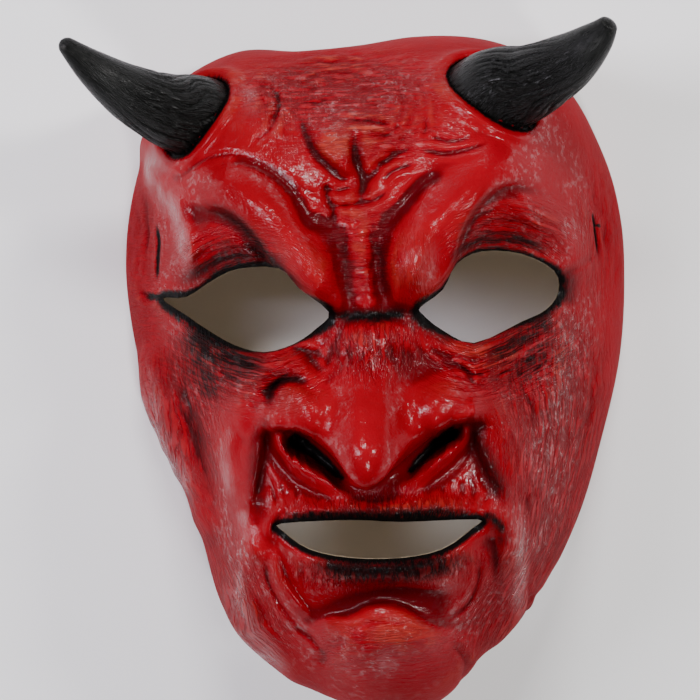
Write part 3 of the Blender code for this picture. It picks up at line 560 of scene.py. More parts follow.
def blurred(height, rounds):
    for _ in range(rounds):
        for axis in (0, 1):
            pad = np.concatenate([height.take([0], axis), height, height.take([-1], axis)], axis)
            size = height.shape[axis]
            height = (pad.take(range(size), axis) + 2 * height
                      + pad.take(range(2, size + 2), axis)) / 4
    return height


u, v = evenedOut(*meshing["cells"])
fineU, fineV = refined(u, meshing["finer"]), refined(v, meshing["finer"])
bare, out = bareDome(fineU, fineV)
x, y = bare[..., 0], bare[..., 1]
forms = blurred(softForms(x, y, 0.5), 2)
lines = fineLines(x, y)
skin = raised(bare, out, forms + lines)
hornGap = np.minimum(*(fromHorn(skin, horn) for horn in horns.values()))

# The raised lip and the dip round a horn's foot: height, how far away, half width
hornFoot = {"lip": (3.0, 3.2, 2.6), "dip": (2.2, 0.2, 1.3)}
height, away, width = hornFoot["lip"]
lip = height * np.exp(-((hornGap - away) / width) ** 2)
height, away, width = hornFoot["dip"]
lip = lip - height * ease(1 - np.abs(hornGap - away) / width)
skin = overhung(raised(skin, out, lip))
print("face carved", skin.shape)


# The lining lies under the lowest skin within its reach (in walls), and deeper under a horn
liningShape = {"reach": 1.1, "ways": 12, "rounds": 3, "under": 1.0,
               "pad": 3.8, "padReach": 11.5, "padFade": 6.0}


def lining(u, v):
    wall, look = face["wall"], liningShape
    reach = look["reach"] * wall
    inner, out = bareDome(u, v, wall)
    outer = bareDome(u, v)[0]
    x, y = outer[..., 0], outer[..., 1]
    low = mainForms(x, y)
    for turn in np.linspace(0, 2 * math.pi, look["ways"], endpoint=False):
        low = np.minimum(low, mainForms(x + reach * math.cos(turn), y + reach * math.sin(turn)))
    for _ in range(look["rounds"]):
        mean = (low[2:, 1:-1] + low[:-2, 1:-1] + low[1:-1, 2:] + low[1:-1, :-2]) / 4
        low[1:-1, 1:-1] = np.minimum(low[1:-1, 1:-1], 0.5 * low[1:-1, 1:-1] + 0.5 * mean)
    carved = raised(outer, out, mainForms(x, y))
    gap = np.minimum(*(fromHorn(carved, horn) for horn in horns.values()))
    foot = ease((look["padReach"] - gap) / look["padFade"])
    seat = low - look["under"]
    return overhung(raised(inner, out, seat - look["pad"] * foot)), overhung(raised(inner, out, seat))


inside, hornSeat = lining(u, v)

# From the drawing's millimetres to where the solid mask lies
drawnMiddle = (skin.min(axis=(0, 1)) + skin.max(axis=(0, 1))) / 2
faceShift = Vector(((maskLow.x + maskHigh.x) / 2 - drawnMiddle[0] / 1000,
                    (maskLow.y + maskHigh.y) / 2 - drawnMiddle[1] / 1000, maskLow.z))
print("face shift", [round(c * 1000, 2) for c in faceShift])


def placed(points):
    return np.asarray(points) / 1000 + np.array(faceShift)


# Paint, wear and painted light and shade, as values on the skin's points

def strokes(x, y, items):
    # strokes along paths, of paint, painted shade and gloss: path, half width, strength
    amount = np.zeros(x.shape)
    for path, width, strength in items:
        at, far, share, _ = byPath(x, y, path, 3 * width)
        amount[at] = np.maximum(amount[at], strength * np.exp(-(far / width) ** 2) * taper(share, 0.3))
    return amount


# Rims of paint: how far beyond the edge they start, and the width over which they fade
paint = {
    "eyeRim": (0.2, 1.1),
    "mouthRim": (0.4, 2.6),
    "nostrilRim": (0.1, 2.8),
    "hornRing": (0.1, 1.4),
    "eyeSpread": [
        (-15, 17, 8, 8, 0, 5, 1.2), (-58, 14, 13, 8, -30, 6.5, 1.2), (-68, 26, 9, 6, 0, 4, 1.2),
        (-46, 38, 26, 7, 0, 3.5, 1.5), (17, 17, 8, 8, 0, 6, 1.2), (44, 37, 16, 6, 0, 1.6, 1.5),
        (64, 24, 8, 10, 0, 4, 1.2), (56, 13, 10, 6, 20, 3, 1.2),
    ],
    "strokes": [
        ([(-16, 19), (-10, 17.5), (-3, 17), (6, 17), (14, 18.5)], 1.8, 0.8),
        ([(-78, 28), (-70, 27)], 1.4, 0.9),
        ([(-35, -11), (-35, -6), (-32, -3), (-27.6, -2.4), (-23, -4)], 1.0, 0.6),
        ([(-28, -61), (-15, -65), (5, -66), (24, -62)], 1.8, 0.7),
        ([(-37, -52), (-34, -47.3), (-20, -47.5), (0, -48.5), (20, -48.5), (34, -50)], 1.6, 0.8),
        ([(31, -50), (36, -51.5), (40, -57)], 1.5, 0.7),
        ([(77.4, 44), (80.5, 43.6)], 0.6, 0.9),
    ] + [(path, 0.75, 1.0) for path in templeSlits],
    # dark paint round the eyes and lips, and painted shade in the folds, creases and hollows: path, half
    # width, strength
    "darkPaintAndShade": [
        ([(-64, 18), (-56, 9), (-45, 4), (-34, 2)], 5.5, 0.9), ([(-60, 10), (-57, 0), (-54, -10)], 5, 0.75),
        ([(-50, 2), (-44, -4)], 5, 0.45),
        ([(-68, 29), (-56, 35), (-46, 39), (-34, 39), (-24, 31)], 3.6, 0.85),
        ([(-52, 44), (-44, 42), (-37, 37), (-31, 34)], 3.0, 0.5), ([(-24, 12), (-13, 18)], 4.5, 0.9),
        ([(-58, 57), (-48, 54), (-40, 48), (-33, 39), (-26, 31), (-18, 24)], 2.4, 0.9),
        ([(-62, 58), (-56, 52), (-54, 46)], 4, 0.5), ([(11, 18), (20, 12), (28, 6)], 4.2, 0.8),
        ([(24, 30), (30, 38), (40, 40), (52, 39), (62, 33)], 2.8, 0.8),
        ([(64, 31), (66, 24), (64, 16)], 4.5, 0.75),
        ([(62, 17), (54, 10), (44, 4), (34, 1)], 4.6, 0.7), ([(60, 8), (52, -1), (43, -6)], 4.5, 0.5),
        ([(26, 29), (29, 38), (33, 47), (41, 55), (50, 58)], 2.0, 0.55),
        ([(-14, 18.5), (0, 17), (14, 18.5)], 3.4, 0.85), ([(-8.5, 46), (-8, 30), (-7, 20)], 2.0, 0.55),
        ([(3, 45), (4, 30), (5, 20)], 2.4, 0.6), ([(-20, 86), (-17, 74), (-10, 66), (-3, 63)], 2.2, 0.5),
        ([(-2.5, 77), (-2.2, 67), (-1, 60), (-1.5, 53)], 3.0, 0.55),
        ([(-14, 64), (-13, 55), (-10, 49)], 2.6, 0.45),
        ([(-28, -59), (-14, -65.5), (4, -67), (20, -65), (29, -59)], 4.8, 0.85),
        ([(-35, -48), (0, -47.5), (33, -49)], 2.6, 0.7), ([(31, -50), (38, -55), (38, -63)], 3, 0.65),
        ([(-34, -50), (-38, -57)], 3, 0.5), ([(-36, -14), (-35, -6), (-28, -2), (-21, -6)], 2.2, 0.65),
        ([(-37, -12), (-40, -26), (-41, -40), (-40, -52)], 4.2, 0.75),
        ([(31, -14), (33, -28), (38, -41), (42, -48)], 4.0, 0.85),
        ([(-62, 0), (-60, -14), (-56, -30), (-54, -46)], 3.5, 0.4),
        ([(-14, -46), (-5, -42), (5, -46)], 4, 0.35),
        ([(-28, 8), (-23, 6), (-20, 1)], 2.2, 0.6), ([(-4, 63), (-2, 58)], 3.5, 0.4),
        ([(24, -88), (14, -86), (4, -79), (-8, -78), (-18, -82), (-26, -84)], 2.4, 0.4),
    ],
    "sheen": [
        ([(-70, 80), (-66, 64), (-61, 50), (-60, 32)], 4.0, 1.0),
        ([(-75, 6), (-73, -10), (-65, -30), (-59, -46)], 3.2, 0.7),
        ([(-48, -58), (-49, -70), (-44, -84), (-32, -100)], 2.6, 0.7),
        ([(-47, -14), (-51, -28), (-49, -42)], 2.4, 0.7),
        ([(-46, -44), (-45, -56)], 3, 0.9),
        ([(44, -48), (45, -66), (40, -84)], 2.2, 0.8), ([(-38, 96), (-36, 84)], 3, 0.8),
        ([(-7, -30), (-4, -20)], 5, 0.5), ([(8, 28), (14, 42)], 6, 0.5), ([(-6, -94), (2, -96)], 8, 0.35),
    ],
}


def paintedBlack(x, y):
    eyeLeft, eyeRight, mouth = (outsideOf(x, y, openingLoop(name))
                                for name in ("eyeLeft", "eyeRight", "mouth"))
    edge = np.minimum(eyeLeft, eyeRight)
    inward, fade = paint["eyeRim"]
    amount = 1 - ease((edge + inward) / (fade + heightOfMasses(x, y, paint["eyeSpread"])))
    outward, fade = paint["mouthRim"]
    amount = np.maximum(amount, 1 - ease((mouth - outward) / fade))
    amount = np.maximum(amount, strokes(x, y, paint["strokes"]))
    grown, fade = paint["nostrilRim"]
    for path, half, _, _ in nose["nostrils"]:
        far, share, _ = nearestOn(x, y, smoothLine(path))
        amount = np.maximum(amount, ease((nostrilHalf(half, share) + grown - far) / fade))
    away, wide = paint["hornRing"]
    return np.maximum(amount, ease(wide - np.abs(hornGap - away))), edge


def washAndShadeWeights(x, y):
    # where the hollows darken: a dark wash brushed on and wiped off, and painted shade
    return np.clip(0.55 + heightOfMasses(x, y, [
        (-45, 10, 26, 16, -15, 0.4, 1.2), (46, 8, 26, 16, 12, 0.4, 1.2), (0, 62, 40, 22, 0, 0.3, 1.5),
        (0, -62, 45, 20, 0, 0.35, 1.5), (-2, -5, 10, 10, 0, -0.5, 1.5),
    ]), 0, 1)


def hollowness(place, rounds):
    # how far the surface lies under the mean of what is round it, in millimetres
    return ((blurred(place, rounds) - place) * normalsOf(place)).sum(axis=-1)


# Fine lines of the skin, by the way they run: weights, and a measure across the curved ones

lineWeights = {
    "level": [(-8, 94, 34, 13, 0, 1.0, 2), (2, 76, 26, 9, 0, 0.6, 1.5), (-3, 40, 12, 16, 0, 0.5, 1.5),
              (0, -92, 24, 10, 0, 0.5, 1.5), (-78, 30, 8, 40, 0, 0.5, 1.5)],
    "upright": [(-1, 6, 16, 10, 0, 1.0, 1.5), (13, 33, 9, 14, 0, 0.4, 1.5), (0, -66, 32, 6, 0, 1.0, 1.5),
                (0, -46, 32, 5, 0, 0.8, 1.5), (78, 40, 9, 30, 0, 0.6, 1.5), (-24, 88, 16, 16, 0, 0.3, 1.5)],
    "ringed": [(-46, 4, 24, 14, -12, 1.0, 1.5), (46, 2, 24, 14, 12, 1.0, 1.5), (48, 42, 20, 10, 0, 0.8, 1.5),
               (-48, 42, 16, 8, 0, 0.6, 1.5), (-26, 34, 14, 18, 30, 0.2, 1.5)],
    "swept": [(60, -25, 22, 42, 0, 1.0, 2), (-66, -20, 14, 44, -12, 0.9, 2), (-50, -74, 12, 30, 20, 0.8, 1.5),
              (44, -80, 16, 30, -30, 0.8, 1.5)],
}


def sweptWay(x, y):
    rightInner = np.interp(y, [-100, -62, -22, -6], [14, 38, 41, 36])
    rightOuter = np.interp(y, [-100, -62, -34, -12, 12], [36, 62, 72, 79, 80])
    leftInner = np.interp(y, [-105, -84, -60, -18, 0], [-18, -36, -44, -52, -56])
    leftOuter = np.interp(y, [-105, -84, -60, -36, -10, 20], [-34, -54, -64, -71, -79, -84])
    return np.where(x > 0, 28 * (x - rightInner) / (rightOuter - rightInner),
                    20 * (leftInner - x) / (leftInner - leftOuter))


black, eyeEdge = paintedBlack(x, y)

# Broad and fine hollows: rounds of blurring, and the depth in mm that counts as full
hollows = {"wide": (60, 3.0), "narrow": (8, 2.4)}
wet = {"edge": 0.76, "fade": 0.28}  # where the wet film ends, as a share of the way to the rim
wide, narrow = (hollowness(skin, rounds) / full for rounds, full in hollows.values())
values = {
    "black": black,
    "darkPaintAndShade": strokes(x, y, paint["darkPaintAndShade"]),
    "sheen": strokes(x, y, paint["sheen"]),
    "deep": np.clip(0.5 + wide + narrow, 0, 1),
    "washAndShade": washAndShadeWeights(x, y),
    "wet": ease((wet["edge"] - out) / wet["fade"]),
    "ringWay": eyeEdge,
    "sweptWay": sweptWay(x, y),
}
for name, places in lineWeights.items():
    values[name] = np.clip(heightOfMasses(x, y, places), 0, 1)
print("paint mapped")


# Modelling helpers

def selectOnly(*things):
    bpy.ops.object.select_all(action="DESELECT")
    for thing in things:
        thing.select_set(True)
    bpy.context.view_layer.objects.active = things[0]


def pointOut(piece):
    # turn all the faces of a closed piece outward
    selectOnly(piece)
    bpy.ops.object.mode_set(mode="EDIT")
    bpy.ops.mesh.select_all(action="SELECT")
    bpy.ops.mesh.normals_make_consistent(inside=False)
    bpy.ops.object.mode_set(mode="OBJECT")


def keepValues(piece, name, values):
    attribute = piece.data.attributes.new(name, "FLOAT", "POINT")
    attribute.data.foreach_set("value", values.astype(np.float32))


def gridPiece(name, places):
    # a primitive grid, its points moved onto the carving
    rows, columns = places.shape[0] - 1, places.shape[1] - 1
    bpy.ops.object.select_all(action="DESELECT")
    bpy.ops.mesh.primitive_grid_add(x_subdivisions=columns, y_subdivisions=rows, size=2)
    piece = bpy.context.object
    piece.name = piece.data.name = name
    co = np.empty(len(piece.data.vertices) * 3)
    piece.data.vertices.foreach_get("co", co)
    co = co.reshape(-1, 3)
    i = np.rint((co[:, 0] + 1) / 2 * columns).astype(int)
    j = np.rint((co[:, 1] + 1) / 2 * rows).astype(int)
    piece.data.vertices.foreach_set("co", placed(places[j, i]).ravel())
    piece.data.update()
    return piece, j, i


def applyCut(piece, cutter):
    cut = piece.modifiers.new("cut", "BOOLEAN")
    cut.operation = "DIFFERENCE"
    cut.solver = "EXACT"
    cut.object = cutter
    selectOnly(piece)
    bpy.ops.object.modifier_apply(modifier="cut")
    bpy.data.objects.remove(cutter)


def prism(name, outline, low=20, high=150):
    loop = smoothLine(outline, 3, closed=True)
    mesh = bpy.data.meshes.new(name)
    mesh.from_pydata(placed([(*p, low) for p in loop]).tolist(), [], [list(range(len(loop)))])
    piece = bpy.data.objects.new(name, mesh)
    bpy.context.scene.collection.objects.link(piece)
    selectOnly(piece)
    bpy.ops.object.mode_set(mode="EDIT")
    bpy.ops.mesh.select_all(action="SELECT")
    bpy.ops.mesh.extrude_region_move(TRANSFORM_OT_translate={"value": (0, 0, (high - low) / 1000)})
    bpy.ops.object.mode_set(mode="OBJECT")
    pointOut(piece)
    return piece


# The casting: skin and lining joined round the rim, then the eyes and the mouth cut out

casting, j, i = gridPiece("maskCasting", skin)
skinPoints = np.array([p.co for p in casting.data.vertices])
pointValues = {name: grid[j, i] for name, grid in values.items()}
liningPiece, _, _ = gridPiece("maskLining", inside)
liningPiece.data.flip_normals()
selectOnly(casting, liningPiece)
bpy.ops.object.join()
bpy.ops.object.mode_set(mode="EDIT")
bpy.ops.mesh.select_mode(type="EDGE")
bpy.ops.mesh.select_all(action="DESELECT")
bpy.ops.mesh.select_non_manifold()
bpy.ops.mesh.bridge_edge_loops()
bpy.ops.object.mode_set(mode="OBJECT")
print("skin and lining joined", len(casting.data.polygons))
for name in ("eyeLeft", "eyeRight", "mouth"):
    applyCut(casting, prism(name, face[name]))
print("eyes and mouth cut", len(casting.data.polygons))

tree = KDTree(len(skinPoints))
for k, point in enumerate(skinPoints):
    tree.insert(point, k)
tree.balance()
found = [tree.find(p.co)[1:] for p in casting.data.vertices]
nearestSkin = np.array([k for k, far in found])
farFromSkin = np.array([far for k, far in found]) * 1000
for name, of in pointValues.items():
    keepValues(casting, name, of[nearestSkin])
innerStarts, innerFade = 0.9, 1.2  # millimetres from the skin at which the cream of the cut edge begins
keepValues(casting, "inner", np.clip((farFromSkin - innerStarts) / innerFade, 0, 1))
selectOnly(casting)
bpy.ops.object.shade_smooth_by_angle(angle=math.radians(face["smoothAngle"]))
print("casting ready", len(casting.data.vertices))


# The horns: rings along the same curve as the solid ones, grooved near the foot

hornLook = {
    "sides": 220, "rings": 120, "smoothAngle": 60, "seatDepth": 0.04,
    "tipStarts": 0.965, "tipLength": 0.035,
    "grainEnds": 0.72, "endFade": 0.35, "grainStarts": 0.21, "startFade": 0.08,
    "broadLines": 8, "broadDepth": 0.7, "narrowLines": 19, "narrowDepth": 0.6,
}


def makeHorn(name, horn):
    line, radius = hornLine(horn, 12)
    count = hornLook["rings"]
    at = np.linspace(0, len(line) - 1, count)
    index = np.arange(len(line))
    centre = np.stack([np.interp(at, index, line[:, k]) for k in range(3)], -1)
    for _ in range(6):
        centre[1:-1] = (centre[:-2] + 2 * centre[1:-1] + centre[2:]) / 4
    size = np.interp(at, index, radius)
    tip = np.linspace(0, 1, count)
    roundOff = ((tip - hornLook["tipStarts"]) / hornLook["tipLength"]).clip(0, 1)
    size = size * np.sqrt(np.clip(1 - roundOff ** 2, 0.02, 1))
    way = np.gradient(centre, axis=0)
    way /= np.linalg.norm(way, axis=1, keepdims=True)
    side = np.cross(way, [0.0, 0.0, 1.0])
    side /= np.linalg.norm(side, axis=1, keepdims=True)
    up = np.cross(side, way)
    bpy.ops.object.select_all(action="DESELECT")
    bpy.ops.mesh.primitive_cylinder_add(vertices=hornLook["sides"], radius=1, depth=2, end_fill_type="NGON")
    piece = bpy.context.object
    piece.name = piece.data.name = name
    bpy.ops.object.mode_set(mode="EDIT")
    bpy.ops.mesh.select_all(action="DESELECT")
    bpy.ops.object.mode_set(mode="OBJECT")
    for edge in piece.data.edges:
        a, b = (piece.data.vertices[k].co for k in edge.vertices)
        edge.select = abs(a.z - b.z) > 1
    bpy.ops.object.mode_set(mode="EDIT")
    bpy.ops.mesh.subdivide_edgering(number_cuts=count - 2, interpolation="LINEAR", smoothness=0)
    bpy.ops.object.mode_set(mode="OBJECT")
    co = np.empty(len(piece.data.vertices) * 3)
    piece.data.vertices.foreach_get("co", co)
    co = co.reshape(-1, 3)
    ring = np.rint((co[:, 2] + 1) / 2 * (count - 1)).astype(int)
    turn = np.arctan2(co[:, 1], co[:, 0])
    share = ring / (count - 1)
    rough = (ease((hornLook["grainEnds"] - share) / hornLook["endFade"])
             * ease((share - hornLook["grainStarts"]) / hornLook["startFade"]))
    wander = 0.22 * np.sin(7 * share + turn) + 0.10 * np.sin(19 * share + 3 * turn)
    broad = np.abs(np.sin(hornLook["broadLines"] * (turn + wander) + 1.1))
    narrow = np.abs(np.sin(hornLook["narrowLines"] * (turn + 0.7 * wander) + 2 * share + 0.4))
    comes = 0.55 + 0.45 * np.sin(11 * share + 5 * turn)
    grain = -(hornLook["broadDepth"] * (1 - broad) ** 3
              + hornLook["narrowDepth"] * comes * (1 - narrow) ** 2) * rough
    reach = size[ring] + grain * np.minimum(1, size[ring] / 8)
    round_ = np.cos(turn)[:, None] * side[ring] + np.sin(turn)[:, None] * up[ring]
    piece.data.vertices.foreach_set("co", placed(centre[ring] + reach[:, None] * round_).ravel())
    for attributeName, value in (("along", share), ("around", turn / (2 * math.pi) + 0.5)):
        keepValues(piece, attributeName, value)
    piece.data.update()
    pointOut(piece)
    return piece


hornPieces = {}
for name, horn in horns.items():
    piece = makeHorn(name, horn)
    core, _, _ = gridPiece(name + "Seat", hornSeat)
    selectOnly(core)
    bpy.ops.object.mode_set(mode="EDIT")
    bpy.ops.mesh.select_all(action="DESELECT")
    bpy.ops.mesh.select_non_manifold()
    bpy.ops.mesh.extrude_region_move(TRANSFORM_OT_translate={"value": (0, 0, -hornLook["seatDepth"])})
    bpy.ops.mesh.edge_face_add()
    bpy.ops.object.mode_set(mode="OBJECT")
    pointOut(core)
    applyCut(piece, core)
    selectOnly(piece)
    bpy.ops.object.shade_smooth_by_angle(angle=math.radians(hornLook["smoothAngle"]))
    hornPieces[name] = piece
    print("horn ready", name, len(piece.data.polygons))


# Materials

class Wire:  # a socket, so that shader maths reads as plain sums
    def __init__(self, finish, socket):
        self.finish, self.socket = finish, socket

    def maths(self, operation, *values):
        return self.finish.node("ShaderNodeMath", {"operation": operation}, dict(enumerate(values)))

    def __add__(self, other):
        return self.maths("ADD", self, other)

    def __radd__(self, other):
        return self.maths("ADD", other, self)

    def __sub__(self, other):
        return self.maths("SUBTRACT", self, other)

    def __rsub__(self, other):
        return self.maths("SUBTRACT", other, self)

    def __mul__(self, other):
        return self.maths("MULTIPLY", self, other)

    def __rmul__(self, other):
        return self.maths("MULTIPLY", other, self)

    def crease(self, width=0.10):
        # sharp valleys where the pattern crosses its middle
        centred = self - 0.5
        return centred.maths("ABSOLUTE", centred).between(0, width)

    def limited(self):
        return self.finish.node("ShaderNodeClamp", {}, {0: self})

    def between(self, low, high):
        return self.finish.node("ShaderNodeMapRange", {"interpolation_type": "SMOOTHSTEP"},
                                {0: self, 1: low, 2: high})


class Finish:  # one material
    def __init__(self, name, **constants):
        self.material = bpy.data.materials.new(name)
        self.material.use_nodes = True
        self.tree = self.material.node_tree
        self.shader = self.tree.nodes["Principled BSDF"]
        for socket, value in constants.items():
            self.shader.inputs[socket.replace("_", " ")].default_value = value

    def node(self, kind, settings, inputs, output=0):
        made = self.tree.nodes.new(kind)
        for name, value in settings.items():
            if name == "stops":
                ramp = made.color_ramp
                for k, (position, colour) in enumerate(value):
                    stop = ramp.elements[k] if k < 2 else ramp.elements.new(position)
                    stop.position, stop.color = position, colour
            else:
                setattr(made, name, value)
        for key, value in inputs.items():
            self.feed(made.inputs[key], value)
        return Wire(self, made.outputs[output])

    def feed(self, socket, value):
        if isinstance(value, Wire):
            self.tree.links.new(value.socket, socket)
        else:
            socket.default_value = value

    def value(self, name):
        return self.node("ShaderNodeAttribute", {"attribute_name": name}, {}, "Fac")

    def place(self, stretch=(1, 1, 1)):
        where = self.node("ShaderNodeTexCoord", {}, {}, "Object")
        return self.node("ShaderNodeMapping", {}, {"Vector": where, "Scale": stretch})

    def noise(self, scale, detail=3, roughness=0.5, where=None):
        return self.node("ShaderNodeTexNoise", {}, {"Vector": where or self.place(), "Scale": scale,
                                                    "Detail": detail, "Roughness": roughness})

    def mixed(self, share, a, b):
        return self.node("ShaderNodeMix", {"data_type": "RGBA"}, {0: share, 6: a, 7: b}, 2)

    def bumped(self, height, distance, strength=1.0):
        bump = {"Height": height, "Distance": distance, "Strength": strength}
        self.feed(self.shader.inputs["Normal"], self.node("ShaderNodeBump", {}, bump))


latex = {
    "red": (0.225, 0.0002, 0.0050, 1),
    "brightRed": (0.275, 0.0003, 0.0070, 1),
    # maroon of the dark wash and of the painted shade in hollows
    "maroon": (0.032, 0.0004, 0.0015, 1),
    "black": (0.0025, 0.0018, 0.0018, 1),
    # salmon of the raised crests: rubbed wear on the paint, and a painted highlight
    "wearAndPaintedHighlight": (0.42, 0.070, 0.038, 1),
    "cream": (0.70, 0.56, 0.38, 1),
    "gloss": 0.14,
}


def paintedLatex():
    # a glossy and a dull finish under the same paint
    f = Finish("paintedLatex", Roughness=latex["gloss"], IOR=1.5, Specular_IOR_Level=0.75)
    painted = ("black", "darkPaintAndShade", "sheen", "deep", "washAndShade", "wet", "inner")
    black, darkPaintAndShade, sheen, deep, washAndShade, wet, inner = (f.value(name) for name in painted)
    level, upright, ringed, swept = (f.value(name) for name in lineWeights)
    patches = f.noise(38, 4, 0.6)
    grit = f.noise(420, 3, 0.6)
    pebbles = f.noise(750, 2, 0.5)
    across = f.node("ShaderNodeSeparateXYZ", {}, {0: f.node("ShaderNodeTexCoord", {}, {}, "Object")})
    up = Wire(f, across.socket.node.outputs[1])
    levelLines = f.noise(1, 3, 0.6, f.place((95, 620, 95))).crease()
    uprightLines = f.noise(1, 3, 0.6, f.place((620, 95, 95))).crease()
    ringAt = f.node("ShaderNodeCombineXYZ", {}, {0: f.value("ringWay") * 0.62, 1: across * 70, 2: up * 70})
    sweptAt = f.node("ShaderNodeCombineXYZ", {}, {0: f.value("sweptWay") * 0.75, 1: up * 75, 2: 0.0})
    ringLines = f.noise(1, 3, 0.6, ringAt).crease()
    sweptLines = f.noise(1, 3, 0.6, sweptAt).crease()
    lined = level + upright + ringed + swept
    wearAndHighlightLines = level + upright * 0.3 + ringed * 0.35 + swept * 0.2
    lines = (level * levelLines + upright * uprightLines + ringed * ringLines + swept * sweptLines
             + (1 - lined.limited()))
    colour = f.mixed(patches.between(0.35, 0.7), latex["red"], latex["brightRed"])
    # salmon on the raised crests and between the fine lines: rubbed wear, and a painted highlight
    wearAndPaintedHighlight = ((1 - deep) + (grit - 0.5) * 0.5).between(0.50, 0.95) * (wearAndHighlightLines * lines).limited()
    colour = f.mixed(wearAndPaintedHighlight * f.noise(60, 3, 0.6).between(0.42, 0.62) * 0.75, colour, latex["wearAndPaintedHighlight"])
    # maroon in the hollows and in the valleys of the fine lines: a dark wash, and painted shade
    hollow = (deep + (patches - 0.5) * 0.25 + (grit - 0.5) * 0.15).between(0.55, 1.0) * washAndShade
    colour = f.mixed((hollow + (1 - lines) * lined * 0.45).limited(), colour, latex["maroon"])
    # dark paint, and painted shade in the folds and hollows, towards black
    darkPaintAndShadeAmount = darkPaintAndShade * 1.15 - darkPaintAndShade * lines * 0.35 + (grit - 0.5) * darkPaintAndShade * 0.5 + (patches - 0.5) * darkPaintAndShade * 0.3
    colour = f.mixed(darkPaintAndShadeAmount.limited().between(0.05, 0.9) * 0.95, colour, latex["black"])
    paintEdge = black.between(0, 0.4) * (1 - black.between(0.8, 1))
    brushed = black + ((grit - 0.5) * 0.8 + (lines - 0.7) * 0.5) * paintEdge
    colour = f.mixed(brushed.between(0.15, 0.85), colour, latex["black"])
    colour = f.mixed(inner, colour, latex["cream"])
    f.feed(f.shader.inputs["Base Color"], colour)
    rough = latex["gloss"] + (grit - 0.5) * 0.2 + (patches - 0.5) * 0.12 + inner * 0.3
    f.feed(f.shader.inputs["Roughness"], rough.limited())
    relief = lines * 0.95 + f.noise(1500, 2, 0.5) * 0.08 + pebbles * 0.14 + f.noise(240, 2, 0.5) * 0.32
    f.bumped(relief, 0.0008, 0.9)
    dull = f.tree.nodes.new("ShaderNodeBsdfPrincipled")
    dull.inputs["Roughness"].default_value = 0.6
    dull.inputs["Specular IOR Level"].default_value = 0.03
    f.feed(dull.inputs["Base Color"], colour)
    f.tree.links.new(f.shader.inputs["Normal"].links[0].from_socket, dull.inputs["Normal"])
    flecks = f.noise(420, 3, 0.65).between(0.50, 0.60) * f.noise(55, 2, 0.5).between(0.38, 0.58)
    sheets = sheen * (f.noise(90, 4, 0.6).between(0.36, 0.60) * 0.6 + 0.4)
    film = wet * (flecks * 0.50 + 0.15) * (1 - black * 0.85) * (1 - darkPaintAndShade * 0.7)
    glossy = sheets.maths("MAXIMUM", sheets, film) * (1 - inner)
    mixed = f.node("ShaderNodeMixShader", {}, {0: glossy.limited()})
    f.tree.links.new(dull.outputs[0], mixed.socket.node.inputs[1])
    f.tree.links.new(f.shader.outputs[0], mixed.socket.node.inputs[2])
    f.tree.links.new(mixed.socket, f.tree.nodes["Material Output"].inputs["Surface"])
    return f.material


hornFinish = {"black": (0.0040, 0.0042, 0.0038, 1), "dust": (0.045, 0.044, 0.040, 1), "gloss": 0.30}


def blackLatex():
    f = Finish("blackLatex", Roughness=hornFinish["gloss"], IOR=1.5, Specular_IOR_Level=0.14)
    along, around = f.value("along"), f.value("around")
    strand = f.node("ShaderNodeCombineXYZ", {}, {0: around * 55, 1: along * 8, 2: 0.0})
    grain = f.noise(1, 4, 0.6, strand)
    specks = f.noise(500, 3, 0.6)
    dust = specks.between(0.56, 0.74) * along.between(0.55, 0.95) * 0.5
    f.feed(f.shader.inputs["Base Color"], f.mixed(dust, hornFinish["black"], hornFinish["dust"]))
    f.feed(f.shader.inputs["Roughness"], (hornFinish["gloss"] + (grain - 0.5) * 0.3).limited())
    rough = along.between(0.8, 0.45)
    f.bumped((grain.crease(0.14) * 0.8 + specks * 0.25) * (rough * 0.85 + 0.12), 0.0007, 0.9)
    return f.material


red, black = paintedLatex(), blackLatex()
casting.data.materials.clear()
casting.data.materials.append(red)
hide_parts("mask")
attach(casting, "root")
for name, piece in hornPieces.items():
    piece.data.materials.clear()
    piece.data.materials.append(black)
    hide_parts(horns[name]["node"])
    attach(piece, "root")
print("materials ready")


# Floor, light and camera

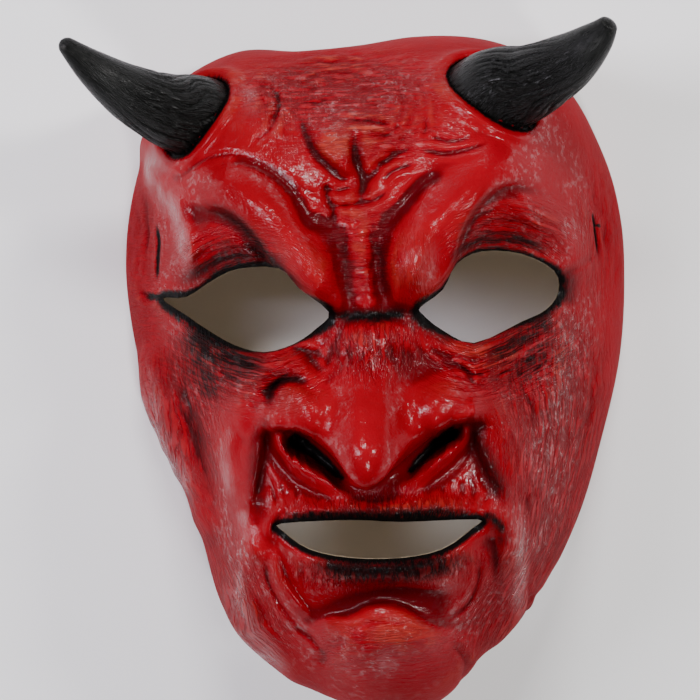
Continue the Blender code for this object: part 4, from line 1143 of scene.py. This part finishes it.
studio = {
    "floor": (0.90, 0.90, 0.90, 1),
    "cameraHeight": 2.2,
    "viewWidth": 0.2310,
    "aim": (-8.1, 6.1),  # the drawing's place at the middle of the picture
    "roll": -3.0,
    "sensor": 36,
    "focusHeight": 0.08,  # where the view is as wide as viewWidth
    "sky": (0.92, 0.93, 1.0, 1),
    "skyStrength": 0.09,
}

bpy.ops.object.select_all(action="DESELECT")
bpy.ops.mesh.primitive_plane_add(size=6)
floor = bpy.context.object
floor.name = "floor"
paper = Finish("paper", Roughness=0.9)
paper.shader.inputs["Base Color"].default_value = studio["floor"]
floor.data.materials.append(paper.material)


def softbox(name, at, aim, size, power, tint):
    light = bpy.data.lights.new(name, "AREA")
    light.shape = "RECTANGLE"
    light.size, light.size_y = size
    light.energy, light.color = power, tint
    thing = bpy.data.objects.new(name, light)
    bpy.context.scene.collection.objects.link(thing)
    way = Vector(aim) - Vector(at)
    thing.matrix_world = Matrix.Translation(at) @ way.to_track_quat("-Z", "Y").to_matrix().to_4x4()


# Soft boxes: place, aim, size, power, tint
softboxes = {
    "leftBox": ((-0.9, 0.25, 0.85), (0, 0, 0.05), (0.36, 0.90), 16, (0.93, 0.88, 1.0)),
    "rightBox": ((0.85, 0.35, 0.9), (0, 0, 0.05), (0.12, 0.35), 10, (1.0, 0.97, 0.96)),
    "topBox": ((0.05, 1.0, 1.2), (0, 0, 0), (0.5, 0.2), 13, (1, 1, 1)),
    "frontBox": ((0.25, -0.9, 1.6), (0, 0, 0), (0.25, 0.25), 13, (1, 1, 1)),
}
for name, settings in softboxes.items():
    softbox(name, *settings)

world = bpy.data.worlds.new("studio")
world.use_nodes = True
world.node_tree.nodes["Background"].inputs["Color"].default_value = studio["sky"]
world.node_tree.nodes["Background"].inputs["Strength"].default_value = studio["skyStrength"]
bpy.context.scene.world = world

middle = placed([(*studio["aim"], 0)])[0]
camera = bpy.data.objects.new("camera", bpy.data.cameras.new("camera"))
bpy.context.scene.collection.objects.link(camera)
camera.location = (middle[0], middle[1], studio["cameraHeight"])
camera.rotation_euler = (0, 0, math.radians(studio["roll"]))
camera.data.sensor_width = studio["sensor"]
focusRange = studio["cameraHeight"] - studio["focusHeight"]
camera.data.lens = studio["sensor"] * focusRange / studio["viewWidth"]
camera.data.clip_end = 20
bpy.context.scene.camera = camera

print("scene ready")
